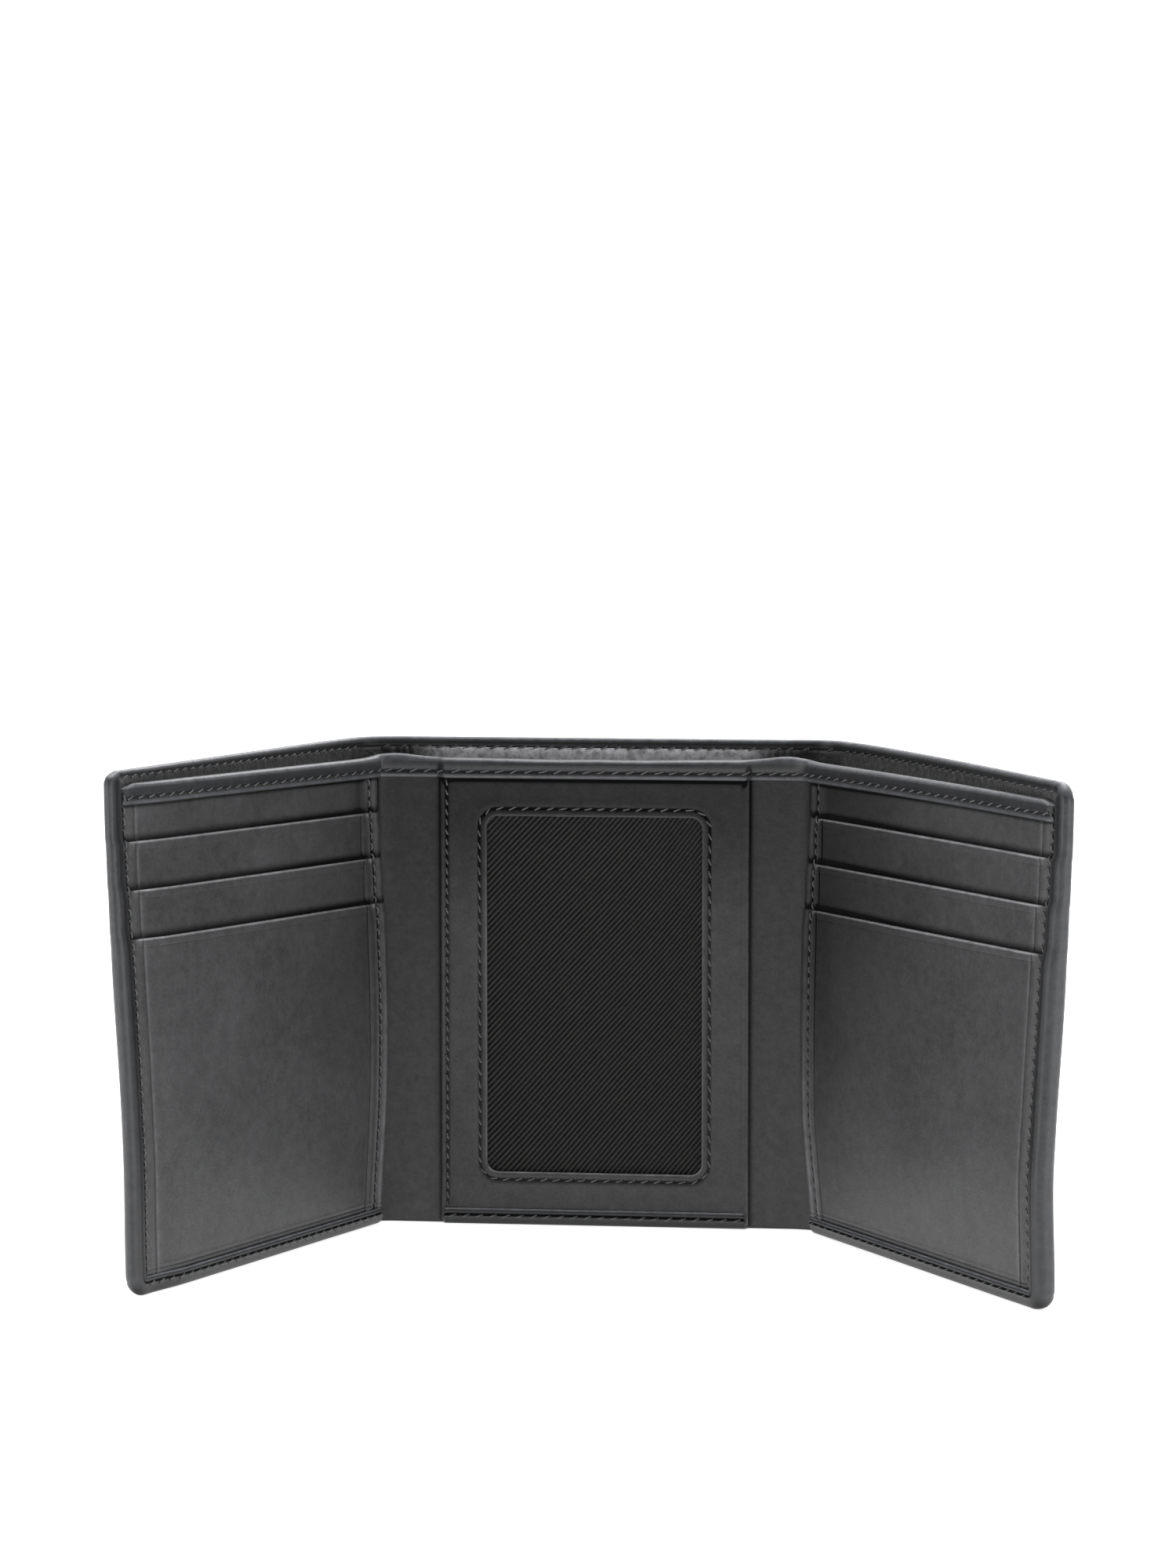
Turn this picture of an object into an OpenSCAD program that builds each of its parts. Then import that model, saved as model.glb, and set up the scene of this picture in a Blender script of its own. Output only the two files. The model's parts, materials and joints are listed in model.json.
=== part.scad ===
// Trifold wallet, standing open with both wings folded forward.
// Millimetres. X to the right, Y to the back, Z up. The origin is under the middle of the
// centre panel, on the surface that the wallet stands on, in the plane of the inner leather.
// A wing is drawn in its own frame: along is measured from its fold, outward towards the
// outer shell, and the fold's axis is at along = 0, outward = 0.

/* [Wallet] */
// Height of the outer shell
wallet_h = 108; // [106:1:115]
// Height of the inner leather, which leaves the bill compartment's rim standing above it
interior_h = 104; // [101:1:105]
// Length of a wing from its fold to its outer end
wing_w = 94; // [92:1:110]

/* [Folds] */
// How far each wing is folded forward as it stands, left and right
rest_angle = [64.5, 55];
// Distance of each fold's axis from the middle of the wallet, left and right
fold_x = [46.75, 45.3];
// Depth of each fold's axis in front of the inner leather: half the height that it closes over
fold_depth = [2.7, 5.6];
// Where the inner leather starts to bend, left and right
crease_x = [44, 42.3];

/* [Bill compartment] */
// Open width of the compartment at the top of the centre panel
bill_gap = 5.5; // [4.5:0.5:8]
// Open width at the top of each wing, next to the fold, left and right
wing_gap = [5.5, 8];

/* [Leather] */
// Outer shell
shell_t = 1.2; // [0.8:0.1:1.6]
// Inner leather of the panels
base_t = 0.6; // [0.5:0.1:1]
// Leather behind the card pockets
facing_t = 0.5; // [0.4:0.1:0.8]
// Each card pocket
pocket_t = 0.6; // [0.5:0.05:0.7]
// Turned hems and top binding
hem_t = 0.5; // [0.4:0.1:0.6]
// Fabric that lines the bill compartment
lining_t = 0.3; // [0.2:0.05:0.4]
// Thread, standing proud of the leather
thread_t = 0.2; // [0.15:0.05:0.25]

/* [Card pockets] */
// Height of each pocket's top edge: rear, middle, front
pocket_top = [92, 82, 72];
// Depth of a pocket below its top edge
card_depth = 54; // [50:1:56]
// Distance of the inner seam from the wing's inner edge
inner_seam = 2.8; // [1.5:0.1:3]
// Distance of the outer seam from the wing's outer end
outer_seam = 4.5; // [4.4:0.1:5]

/* [Window] */
// Half the width of the window frame
frame_half = 34.1; // [31:0.1:38]
// Window opening, width
window_w = 47.6; // [40:0.1:52]
// Window opening, height
window_h = 79.2; // [70:0.1:80]
// Height of the window's lower edge
window_z = 12; // [10:0.5:12]
// Corner radius of the window
window_r = 2.5; // [1:0.5:5]

/* [Hidden] */

left = 0;
right = 1;

leather = "#3b3c3f";
inner_leather = "#434347";
thread_colour = "#232326";
lining_colour = "#515055";
twill_colour = "#1e1f1f";
film_colour = "#9aa0a0";

floor_wall = 0.8;                         // hem leather under the panels
end_wall = 1.2;                           // hem leather round a wing's outer end
hem_w = 4.3;                              // hem seen on the front of a wing's outer end
hem_h = 4;                                // hem seen on the front of a wing's lower edge
centre_hem_h = 3;
binding_h = 4.5;
cap_t = 0.5;                              // binding leather over the top edge
panel_top = interior_h - cap_t;
binding_z = interior_h - binding_h;
outline_r = 3;                            // rounded outer corners of a wing
stack_t = facing_t + 3 * pocket_t;        // facing and pockets in front of the inner leather
frame_t = 1.3;
film_t = 0.2;
backing_t = 0.3;
skin_start = 8;                           // where a wing's shell and lining take over from the fold's
centre_skin_x = [42, 40];                 // and where the fold's start, left and right
gap_end = wing_w - 5;                     // where the bill compartment is sewn shut
rim_z = wallet_h - 2.5;                   // lower edge of the shell's turned rim
rim_step = 0.1;
rim_thread_gap = 0.06;                    // keeps the straight bead off the curved rim
card_slit = 0.2;                          // hollow behind each pocket, for a flat card
hem_start = 0.5;                          // where the lower hem starts, along a wing
hem_seam = 1.2;                           // a lower hem's stitches below the hem's upper edge
film_lap = 4;                             // film and backing reach this far past the window
recess_t = film_t + card_slit + backing_t;
window_seam = 1.7;                        // stitches round the window, from its edge
side_seam = 1.4;                          // stitches down the frame, from its left edge
top_thread_z = interior_h - 2.9;
rim_thread_z = rim_z + 0.5;
bead_w = 0.5;                             // a row of stitches, as a straight bead
bend_steps = 10;

// ---- plan of the folds, drawn for the right-hand side ----
function along_dir(i) = [cos(rest_angle[i]), -sin(rest_angle[i])];
function outward_dir(i) = [sin(rest_angle[i]), cos(rest_angle[i])];
function on_wing(i, s, t) = [fold_x[i], -fold_depth[i]] + s * along_dir(i) + t * outward_dir(i);

// The inner leather bends from the centre plane into the wing along a quadratic curve,
// whose middle point is where the two planes meet.
function bend_end(i) = on_wing(i, 0, fold_depth[i]);
function bend_corner(i) = [bend_end(i).x + bend_end(i).y / tan(rest_angle[i]), 0];
function bend_point(i, u) =
    (1 - u) * (1 - u) * [crease_x[i], 0] + 2 * u * (1 - u) * bend_corner(i) + u * u * bend_end(i);
function bend_slope(i, u) =
    (1 - u) * (bend_corner(i) - [crease_x[i], 0]) + u * (bend_end(i) - bend_corner(i));
function bend_normal(i, u) = let (d = bend_slope(i, u)) [-d.y, d.x] / norm(d);

// A station is [point, normal, width of the bill compartment at the top]
function ease(u) = u * u * (3 - 2 * u);
function fold_gap(i, u) = bill_gap + (wing_gap[i] - bill_gap) * ease(u);
function bend_stations(i) = [
    for (k = [0 : bend_steps]) let (u = k / bend_steps)
        [bend_point(i, u), bend_normal(i, u), fold_gap(i, u)]
];
function fade(s) = max(0, (gap_end - s) / (gap_end - skin_start));
function wing_station(i, s) = [on_wing(i, s, fold_depth[i]), outward_dir(i), wing_gap[i] * fade(s)];
function fold_stations(i) = concat(
    [[[centre_skin_x[i], 0], [0, 1], bill_gap]], bend_stations(i), [wing_station(i, skin_start)]
);
function wing_stations(i) = [
    for (s = [for (k = [0 : 4]) skin_start + k / 4 * (gap_end - skin_start), wing_w - end_wall])
        wing_station(i, s)
];
centre_stations = [for (x = [-centre_skin_x[left], centre_skin_x[right]]) [[x, 0], [0, 1], bill_gap]];

// How far a layer behind the bill compartment is from the inner leather's front
function behind(station, z) = base_t + station[2] * z / wallet_h;

// A leather or fabric skin through the stations. Each row is [height, inner, outer], where
// inner and outer are measured from the back of the bill compartment.
module skin(stations, rows) {
    nr = len(rows);
    nc = len(stations);
    points = [
        for (face = [1, 2]) for (row = rows) for (st = stations)
            let (p = st[0] + (behind(st, row[0]) + row[face]) * st[1]) [p.x, p.y, row[0]]
    ];
    function id(face, r, c) = (face * nr + r) * nc + c;
    // two triangles for a grid cell, turned over for the inner face
    function cell(a, b, c, d) = [[a, b, c], [a, c, d]];
    sheet_faces = [
        for (r = [0 : nr - 2]) for (c = [0 : nc - 2]) each concat(
            cell(id(0, r, c), id(0, r + 1, c), id(0, r + 1, c + 1), id(0, r, c + 1)),
            cell(id(1, r, c), id(1, r, c + 1), id(1, r + 1, c + 1), id(1, r + 1, c))
        )
    ];
    end_faces = [
        for (r = [0 : nr - 2]) each concat(
            cell(id(0, r, 0), id(1, r, 0), id(1, r + 1, 0), id(0, r + 1, 0)),
            cell(id(0, r, nc - 1), id(0, r + 1, nc - 1), id(1, r + 1, nc - 1), id(1, r, nc - 1))
        )
    ];
    rim_faces = [
        for (c = [0 : nc - 2]) each concat(
            cell(id(0, 0, c), id(0, 0, c + 1), id(1, 0, c + 1), id(1, 0, c)),
            cell(id(0, nr - 1, c), id(1, nr - 1, c), id(1, nr - 1, c + 1), id(0, nr - 1, c + 1))
        )
    ];
    polyhedron(points, concat(sheet_faces, end_faces, rim_faces), convexity = 6);
}

shell_out = lining_t + shell_t;
row_z = [floor_wall, rim_z / 3, 2 * rim_z / 3, rim_z];
shell_rows = [
    for (z = row_z) [z, lining_t, shell_out],
    for (z = [rim_z + rim_step, wallet_h]) [z, 0, shell_out]
];
lining_rows = [for (z = row_z) [z, 0, lining_t]];
rim_thread_rows = [
    for (z = [rim_thread_z, rim_thread_z + bead_w]) [z, -thread_t - rim_thread_gap, -rim_thread_gap]
];

// ---- placing ----
module on_side(i) {
    mirror([i == left ? 1 : 0, 0, 0]) children();
}

module at_wing(i) {
    on_side(i) translate([fold_x[i], -fold_depth[i], 0]) rotate([0, 0, -rest_angle[i]]) children();
}

// A flat piece of a wing: from and to along it, its front and thickness measured from the
// inner leather's front (a positive front stands before it), and its lower and upper edge.
module panel(i, s0, s1, front, t, z0, z1) {
    translate([s0, fold_depth[i] - front, z0]) cube([s1 - s0, t, z1 - z0]);
}

// ---- centre panel ----
module centre_shell() {
    color(leather) skin(centre_stations, shell_rows);
}

module centre_lining() {
    color(lining_colour) skin(centre_stations, lining_rows);
}

module centre_base() {
    color(inner_leather)
        translate([-crease_x[left], 0, floor_wall])
            cube([crease_x[left] + crease_x[right], base_t, panel_top - floor_wall]);
}

module centre_top_binding() {
    color(leather) union() {
        translate([-crease_x[left], -hem_t, binding_z])
            cube([crease_x[left] + crease_x[right], hem_t, binding_h]);
        translate([-frame_half, -frame_t - hem_t, binding_z])
            cube([2 * frame_half, frame_t, binding_h]);
        translate([-crease_x[left], 0, panel_top])
            cube([crease_x[left] + crease_x[right], base_t, cap_t]);
    }
}

module centre_bottom_hem() {
    color(leather) union() {
        translate([-frame_half, -frame_t - hem_t, 0])
            cube([2 * frame_half, frame_t + hem_t + base_t + shell_out, floor_wall]);
        translate([-frame_half, -frame_t - hem_t, 0])
            cube([2 * frame_half, hem_t, centre_hem_h]);
    }
}

module rounded_slab(w, h, r, t) {
    translate([0, t, 0]) rotate([90, 0, 0]) linear_extrude(t) rounded_outline(w, h, r);
}

// A rectangle with round corners, centred across and standing on its lower edge
module rounded_outline(w, h, r) {
    translate([-w / 2, r]) square([w, h - 2 * r]);
    translate([-w / 2 + r, 0]) square([w - 2 * r, h]);
    for (x = [-1, 1]) for (y = [r, h - r]) translate([x * (w / 2 - r), y]) circle(r = r, $fn = 48);
}

module id_frame() {
    color(leather) difference() {
        translate([-frame_half, -frame_t, floor_wall])
            cube([2 * frame_half, frame_t, binding_z - floor_wall]);
        translate([0, -frame_t - 1, window_z])
            rounded_slab(window_w, window_h, window_r, frame_t + 2);
        // the pocket behind the window opens at the frame's right-hand edge
        translate([-window_w / 2 - film_lap, -recess_t, window_z - film_lap])
            cube([window_w / 2 + film_lap + frame_half + 1, recess_t + 1, window_h + 2 * film_lap]);
    }
}

module id_window_film() {
    color(film_colour)
        translate([-window_w / 2 - film_lap, -recess_t, window_z - film_lap])
            cube([window_w + 2 * film_lap, film_t, window_h + 2 * film_lap]);
}

module id_backing() {
    color(twill_colour)
        translate([-window_w / 2 - film_lap, -backing_t, window_z - film_lap])
            cube([window_w / 2 + film_lap + frame_half - 1, backing_t, window_h + 2 * film_lap]);
}

module id_window_thread() {
    inner = window_seam - bead_w / 2;
    outer = window_seam + bead_w / 2;
    color(thread_colour) difference() {
        translate([0, -frame_t - thread_t, window_z - outer])
            rounded_slab(window_w + 2 * outer, window_h + 2 * outer, window_r + outer, thread_t);
        translate([0, -frame_t - thread_t - 1, window_z - inner])
            rounded_slab(window_w + 2 * inner, window_h + 2 * inner, window_r + inner, thread_t + 2);
    }
}

module id_side_thread() {
    color(thread_colour)
        translate([-frame_half + side_seam - bead_w / 2, -frame_t - thread_t, centre_hem_h])
            cube([bead_w, thread_t, binding_z - centre_hem_h]);
}

module centre_top_thread() {
    color(thread_colour)
        translate([-frame_half, -frame_t - hem_t - thread_t, top_thread_z - bead_w / 2])
            cube([2 * frame_half, thread_t, bead_w]);
}

module centre_bottom_thread() {
    color(thread_colour)
        translate([-frame_half + 1, -frame_t - hem_t - thread_t, centre_hem_h - hem_seam])
            cube([2 * frame_half - 2, thread_t, bead_w]);
}

module centre_rim_thread() {
    color(thread_colour) skin(centre_stations, rim_thread_rows);
}

// ---- fold leather, which bends as a wing turns ----
module fold_shell(i) {
    color(leather) on_side(i) skin(fold_stations(i), shell_rows);
}

module fold_lining(i) {
    color(lining_colour) on_side(i) skin(fold_stations(i), lining_rows);
}

// A prism along the bend, between two distances from the inner leather's front
module bend_prism(i, near, far, z0, z1) {
    stations = bend_stations(i);
    outline = concat(
        [for (st = stations) st[0] + far * st[1]],
        [for (k = [len(stations) - 1 : -1 : 0]) stations[k][0] + near * stations[k][1]]
    );
    on_side(i) translate([0, 0, z0]) linear_extrude(z1 - z0) polygon(outline);
}

module fold_strip(i) {
    color(inner_leather) bend_prism(i, 0, base_t, floor_wall, panel_top);
}

module fold_binding(i) {
    color(leather) union() {
        bend_prism(i, -hem_t, 0, binding_z, interior_h);
        bend_prism(i, 0, base_t, panel_top, interior_h);
    }
}

// ---- wings ----
module wing_shell(i) {
    color(leather) on_side(i) skin(wing_stations(i), shell_rows);
}

module wing_lining(i) {
    color(lining_colour) on_side(i) skin(wing_stations(i), lining_rows);
}

module wing_base(i) {
    color(inner_leather) at_wing(i)
        panel(i, 0, wing_w - end_wall, 0, base_t, floor_wall, panel_top);
}

module wing_facing(i) {
    color(leather) at_wing(i)
        panel(i, 0, wing_w - end_wall, facing_t, facing_t, floor_wall, panel_top);
}

module wing_top_binding(i) {
    color(leather) at_wing(i) union() {
        panel(i, 0, wing_w - hem_w, facing_t + hem_t, hem_t, binding_z, interior_h);
        panel(i, 0, wing_w - hem_w, facing_t, facing_t + base_t, panel_top, interior_h);
    }
}

// The shell's leather turned over the lower edge and the outer end, onto the front
module wing_edge_hem(i) {
    front = stack_t + hem_t;
    depth = front + base_t + shell_out;
    color(leather) at_wing(i) difference() {
        translate([0, fold_depth[i] - front, 0]) intersection() {
            translate([hem_start, 0, 0]) cube([wing_w - hem_start, depth, wallet_h]);
            translate([wing_w / 2 - outline_r, 0, 0])
                rounded_slab(wing_w + 2 * outline_r, wallet_h, outline_r, depth);
        }
        panel(i, -1, wing_w - hem_w, front + 1, hem_t + 1, hem_h, wallet_h + 1);
        panel(i, -1, wing_w - end_wall, stack_t, stack_t + base_t, floor_wall, panel_top);
        panel(i, -1, wing_w - end_wall, -base_t, shell_out + 1, floor_wall, wallet_h + 1);
        panel(i, -1, wing_w - hem_w, stack_t + 1, stack_t + base_t + 2, panel_top - 1, wallet_h + 1);
    }
}

// One pocket, counted from the rear, with a shallow hollow on its back for the card
module wing_pocket(i, k) {
    front = facing_t + (k + 1) * pocket_t;
    color(leather) at_wing(i) difference() {
        panel(i, 0, wing_w - end_wall, front, pocket_t, floor_wall, pocket_top[k]);
        panel(i, inner_seam, wing_w - outer_seam, front - pocket_t + card_slit, card_slit + 0.01,
              pocket_top[k] - card_depth, pocket_top[k] + 1);
    }
}

module wing_outer_thread(i) {
    color(thread_colour) at_wing(i)
        panel(i, wing_w - hem_w + 0.4, wing_w - hem_w + 0.4 + bead_w, stack_t + hem_t + thread_t,
              thread_t, hem_h + 1, panel_top - 2);
}

// The inner seam's stitches step down from pocket to pocket
module wing_inner_thread(i) {
    levels = concat([hem_h], [for (k = [2 : -1 : 0]) pocket_top[k]], [binding_z]);
    color(thread_colour) at_wing(i) union() for (k = [0 : 3]) {
        front = stack_t - k * pocket_t + thread_t;
        drop = k == 0 ? thread_t : pocket_t + thread_t;
        panel(i, inner_seam - bead_w, inner_seam, front, thread_t, levels[k], levels[k + 1]);
    }
}

module wing_bottom_thread(i) {
    color(thread_colour) at_wing(i)
        panel(i, inner_seam + 1, wing_w - hem_w, stack_t + hem_t + thread_t, thread_t,
              hem_h - hem_seam, hem_h - hem_seam + bead_w);
}

module wing_top_thread(i) {
    color(thread_colour) at_wing(i)
        panel(i, 0.5, wing_w - hem_w - 0.5, facing_t + hem_t + thread_t, thread_t,
              top_thread_z - bead_w / 2, top_thread_z + bead_w / 2);
}

module wing_rim_thread(i) {
    color(thread_colour) on_side(i)
        skin([for (st = wing_stations(i)) if (st[2] > 0) st], rim_thread_rows);
}

centre_shell();
centre_lining();
centre_base();
centre_top_binding();
centre_bottom_hem();
id_frame();
id_window_film();
id_backing();
id_window_thread();
id_side_thread();
centre_top_thread();
centre_bottom_thread();
centre_rim_thread();
for (i = [left, right]) {
    side = ["left", "right"][i];
    fold_shell(i);
    fold_lining(i);
    fold_strip(i);
    fold_binding(i);
    wing_shell(i);
    wing_lining(i);
    wing_base(i);
    wing_facing(i);
    wing_top_binding(i);
    wing_edge_hem(i);
    wing_pocket(i, 0);
    wing_pocket(i, 1);
    wing_pocket(i, 2);
    wing_outer_thread(i);
    wing_inner_thread(i);
    wing_bottom_thread(i);
    wing_top_thread(i);
    wing_rim_thread(i);
}
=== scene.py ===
import json
import math

import bmesh
import bpy
import numpy as np
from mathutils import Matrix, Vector


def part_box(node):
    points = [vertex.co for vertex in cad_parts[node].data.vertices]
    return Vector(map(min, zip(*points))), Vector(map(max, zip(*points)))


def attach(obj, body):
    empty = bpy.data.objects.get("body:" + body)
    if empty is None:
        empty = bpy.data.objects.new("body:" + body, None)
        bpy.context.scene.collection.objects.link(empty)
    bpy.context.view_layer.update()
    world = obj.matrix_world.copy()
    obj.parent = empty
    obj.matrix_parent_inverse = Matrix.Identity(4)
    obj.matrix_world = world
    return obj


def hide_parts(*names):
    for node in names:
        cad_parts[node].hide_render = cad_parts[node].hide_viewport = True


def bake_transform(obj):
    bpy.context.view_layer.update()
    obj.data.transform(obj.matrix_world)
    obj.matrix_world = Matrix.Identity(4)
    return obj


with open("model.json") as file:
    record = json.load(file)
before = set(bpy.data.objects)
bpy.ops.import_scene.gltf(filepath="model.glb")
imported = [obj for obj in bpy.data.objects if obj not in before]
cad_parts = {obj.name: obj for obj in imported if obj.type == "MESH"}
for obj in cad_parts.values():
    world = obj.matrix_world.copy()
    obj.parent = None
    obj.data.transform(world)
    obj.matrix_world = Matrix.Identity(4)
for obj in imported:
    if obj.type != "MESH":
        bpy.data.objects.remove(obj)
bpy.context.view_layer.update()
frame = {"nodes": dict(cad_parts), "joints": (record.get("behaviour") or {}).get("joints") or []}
mm = 0.001
print("frame loaded:", len(frame["nodes"]), "nodes")


# Sizes in millimetres, from the frame where a node shows them

def nodeBox(name):
    low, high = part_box(name)
    return np.array(low) / mm, np.array(high) / mm


def foldOf(side):
    joint = next(j for j in frame["joints"] if j["name"] == side + "_fold")
    x, y, z = (value / mm for value in joint["pos_m"])
    rest = -math.radians(joint["range_deg"][0])        # its lowest value lies flat
    return {"sign": math.copysign(1, x), "x": abs(x), "depth": -y, "rest": rest}


size = {
    "shellH": nodeBox("centre_shell")[1][2],
    "innerH": nodeBox("centre_top_binding")[1][2],
    "bindingZ": nodeBox("centre_top_binding")[0][2],
    "frameHalf": nodeBox("id_frame")[1][0],
    "crease": {"left": -nodeBox("centre_base")[0][0], "right": nodeBox("centre_base")[1][0]},
    "pocketTops": [nodeBox("left_%s_pocket" % row)[1][2] for row in ("rear", "middle", "front")],
    "baseT": nodeBox("centre_base")[1][1],
    "wingW": 94.0,
    "shellT": 1.2,
    "liningT": 0.3,
    "facingT": 0.5,
    "pocketT": 0.6,
    "hemT": 0.55,
    "frameT": 1.3,
    "billGap": 5.5,
    "wingGap": {"left": 5.5, "right": 8.0},
    "gapEnd": 5.0,          # the compartment is sewn shut this far from a wing's end
    "innerSeam": 3.5,
    "outerSeam": 4.7,
    "hemWide": 4.3,
    "hemTall": 3.9,
    "cornerR": 4.0,
}


def smooth(a, b, x):
    t = np.clip((np.asarray(x, float) - a) / (b - a), 0, 1)
    return t * t * (3 - 2 * t)


def bell(x, centre, width):
    return np.exp(-((np.asarray(x, float) - centre) / width) ** 2)


# How far a rounded edge of the given radius falls away, at a distance from its border
def edgeDrop(distance, radius):
    t = np.clip(1 - np.asarray(distance, float) / radius, 0, 1)
    return radius * (1 - np.sqrt(np.clip(1 - t * t, 0, 1)))


# Slow uneven swells of hand-pulled leather
def swell(q, z, seed, length, height):
    dice = np.random.default_rng(seed)
    total = 0
    for turn in range(6):
        angle, phase = dice.uniform(0, 2 * math.pi, 2)
        wave = length * dice.uniform(0.6, 1.7)
        across = q * math.cos(angle) + z * math.sin(angle)
        total = total + np.sin(across * 2 * math.pi / wave + phase)
    return height * total / 3


# The plan of one side, seen from above: q runs along the inner leather's front from the
# middle of the wallet, round the fold and out along the wing.
def planOf(side):
    fold = foldOf(side)
    along = np.array([math.cos(fold["rest"]), -math.sin(fold["rest"])])
    outward = np.array([math.sin(fold["rest"]), math.cos(fold["rest"])])
    start = np.array([size["crease"][side], 0.0])
    end = np.array([fold["x"], -fold["depth"]]) + fold["depth"] * outward
    corner = np.array([end[0] + end[1] / math.tan(fold["rest"]), 0.0])
    u = np.linspace(0, 1, 121)[:, None]
    points = (1 - u) ** 2 * start + 2 * u * (1 - u) * corner + u * u * end
    slopes = (1 - u) * (corner - start) + u * (end - corner)
    slopes /= np.linalg.norm(slopes, axis=1)[:, None]
    steps = np.linalg.norm(np.diff(points, axis=0), axis=1)
    lengths = np.concatenate([[0], np.cumsum(steps)])
    wingQ = start[0] + lengths[-1]
    return {"side": side, "sign": fold["sign"], "body": side + "_wing", "crease": start[0],
            "lengths": lengths, "points": points, "slopes": slopes, "along": along,
            "wingQ": wingQ, "endQ": wingQ + size["wingW"]}


plans = {side: planOf(side) for side in ("left", "right")}


# How real leather departs from the flat plan: the compartment's wedge draws the folds in at
# the top, each wing leans in further towards its foot, and its outer end rides up a little.
# Press is how much thinner the skived layers are sewn together at the outer end. Lengths are
# in millimetres; top and low are degrees of lean at the wing's top and foot.
warp = {"bowAt": 45, "bowReach": 26, "bowFade": 0.55, "leanCurve": 1.58}
drift = {
    "left": {"pinch": 1.0, "bow": 0.9, "top": -0.95, "low": 2.45, "lift": 1.3, "dip": 0.0, "press": 0.42},
    "right": {"pinch": 2.1, "bow": 0.5, "top": -1.7, "low": 1.95, "lift": 0.1, "dip": 1.1, "press": 0.05},
}


def drifted(plan, q, x, y, z):
    own, tall = drift[plan["side"]], size["shellH"]
    share = np.clip((q - plan["wingQ"]) / size["wingW"], 0, 1)
    bow = own["bow"] * bell(z, warp["bowAt"], warp["bowReach"]) * (1 - warp["bowFade"] * share)
    pinch = (own["pinch"] * smooth(-4, 30, z) + bow) * smooth(plan["crease"] - 6, plan["wingQ"], q)
    lower = np.clip(1 - z / tall, 0, 1) ** warp["leanCurve"]
    lean = np.radians(own["top"] + (own["low"] - own["top"]) * lower)
    lean = lean * smooth(plan["crease"], plan["wingQ"] + 8, q)
    alongX, alongY = x - plan["points"][-1, 0], y - plan["points"][-1, 1]
    x = plan["points"][-1, 0] - pinch + alongX * np.cos(lean) + alongY * np.sin(lean)
    y = plan["points"][-1, 1] - alongX * np.sin(lean) + alongY * np.cos(lean)
    lift = own["lift"] * share * (1 - smooth(tall - 3.5, tall, z)) * smooth(0, 45, z)
    return x, y, z + lift - own["dip"] * share ** 2 * smooth(0.6 * tall, tall, z)


# Where a point lies: off is measured outward from the inner leather's front, so what
# stands in front of it, towards the reader, has a negative off.
def place(plan, q, z, off):
    q, z, off = np.broadcast_arrays(*(np.asarray(v, float) for v in (q, z, off)))
    press = drift[plan["side"]]["press"] * smooth(plan["endQ"] - 17, plan["endQ"] - 5, q)
    off = np.where(off < size["baseT"], size["baseT"] + (off - size["baseT"]) * (1 - press), off)
    run = q - plan["crease"]
    bend = np.clip(run, 0, plan["lengths"][-1])
    pick = lambda table: np.interp(bend, plan["lengths"], table)
    slopeX, slopeY = pick(plan["slopes"][:, 0]), pick(plan["slopes"][:, 1])
    long = np.hypot(slopeX, slopeY)
    slopeX, slopeY = slopeX / long, slopeY / long
    before, after = np.minimum(run, 0), np.maximum(run - plan["lengths"][-1], 0)
    x = pick(plan["points"][:, 0]) + before + after * plan["along"][0] - off * slopeY
    y = pick(plan["points"][:, 1]) + after * plan["along"][1] + off * slopeX
    x, y, z = drifted(plan, q, x, y, z)
    return np.stack([x * plan["sign"], y, z], axis=-1) * mm


# Mesh making

def tidyMesh(name, verts, faces, material, attributes=None, sharp=35):
    mesh = bpy.data.meshes.new(name)
    mesh.from_pydata(np.asarray(verts).reshape(-1, 3).tolist(), [], faces)
    for key, values in (attributes or {}).items():
        layer = mesh.attributes.new(key, "FLOAT", "POINT")
        layer.data.foreach_set("value", np.asarray(values, np.float32).ravel())
    work = bmesh.new()
    work.from_mesh(mesh)
    bmesh.ops.remove_doubles(work, verts=work.verts, dist=0.002 * mm)
    bmesh.ops.dissolve_degenerate(work, edges=work.edges, dist=0.0005 * mm)
    bmesh.ops.recalc_face_normals(work, faces=work.faces)
    work.to_mesh(mesh)
    work.free()
    mesh.polygons.foreach_set("use_smooth", [True] * len(mesh.polygons))
    mesh.set_sharp_from_angle(angle=math.radians(sharp))
    mesh.materials.append(material)
    piece = bpy.data.objects.new(name, mesh)
    bpy.context.scene.collection.objects.link(piece)
    return piece


def gridFaces(rows, columns, start=0):
    r, c = np.meshgrid(np.arange(rows - 1), np.arange(columns - 1), indexing="ij")
    a = (start + r * columns + c).ravel()
    return np.stack([a, a + 1, a + columns + 1, a + columns], axis=1).tolist()


# Grid lines: evenly spaced, and closer together round each feature (place, reach, step)
def gridLines(low, high, coarse, *features):
    count = max(1, int(math.ceil((high - low) / coarse)))
    marks = [np.linspace(low, high, count + 1)]
    marks += [np.arange(at - reach, at + reach + step / 2, step) for at, reach, step in features]
    values = np.unique(np.round(np.concatenate(marks), 4))
    keep = [low]
    for value in values:
        if value - keep[-1] > 0.045 and high - value > 0.045:
            keep.append(value)
    return np.array(keep + [high])


# The border of a grid, and the faces that join it to the border of a second grid behind it
def borderFaces(rows, columns):
    index, far = np.arange(rows * columns).reshape(rows, columns), rows * columns
    border = np.concatenate([index[0], index[1:, -1], index[-1, -2::-1], index[-2:0:-1, 0]])
    following = np.roll(border, -1)
    return border, np.stack([border, following, following + far, border + far], axis=1).tolist()


# Faces between rings that close on themselves; in a loop the last ring meets the first
def tubeFaces(rows, count, loop=False):
    faces = []
    for row in range(rows if loop else rows - 1):
        here, there = row * count, (row + 1) % rows * count
        for k in range(count):
            n = (k + 1) % count
            faces.append([here + k, here + n, there + n, there + k])
    return faces


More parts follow.
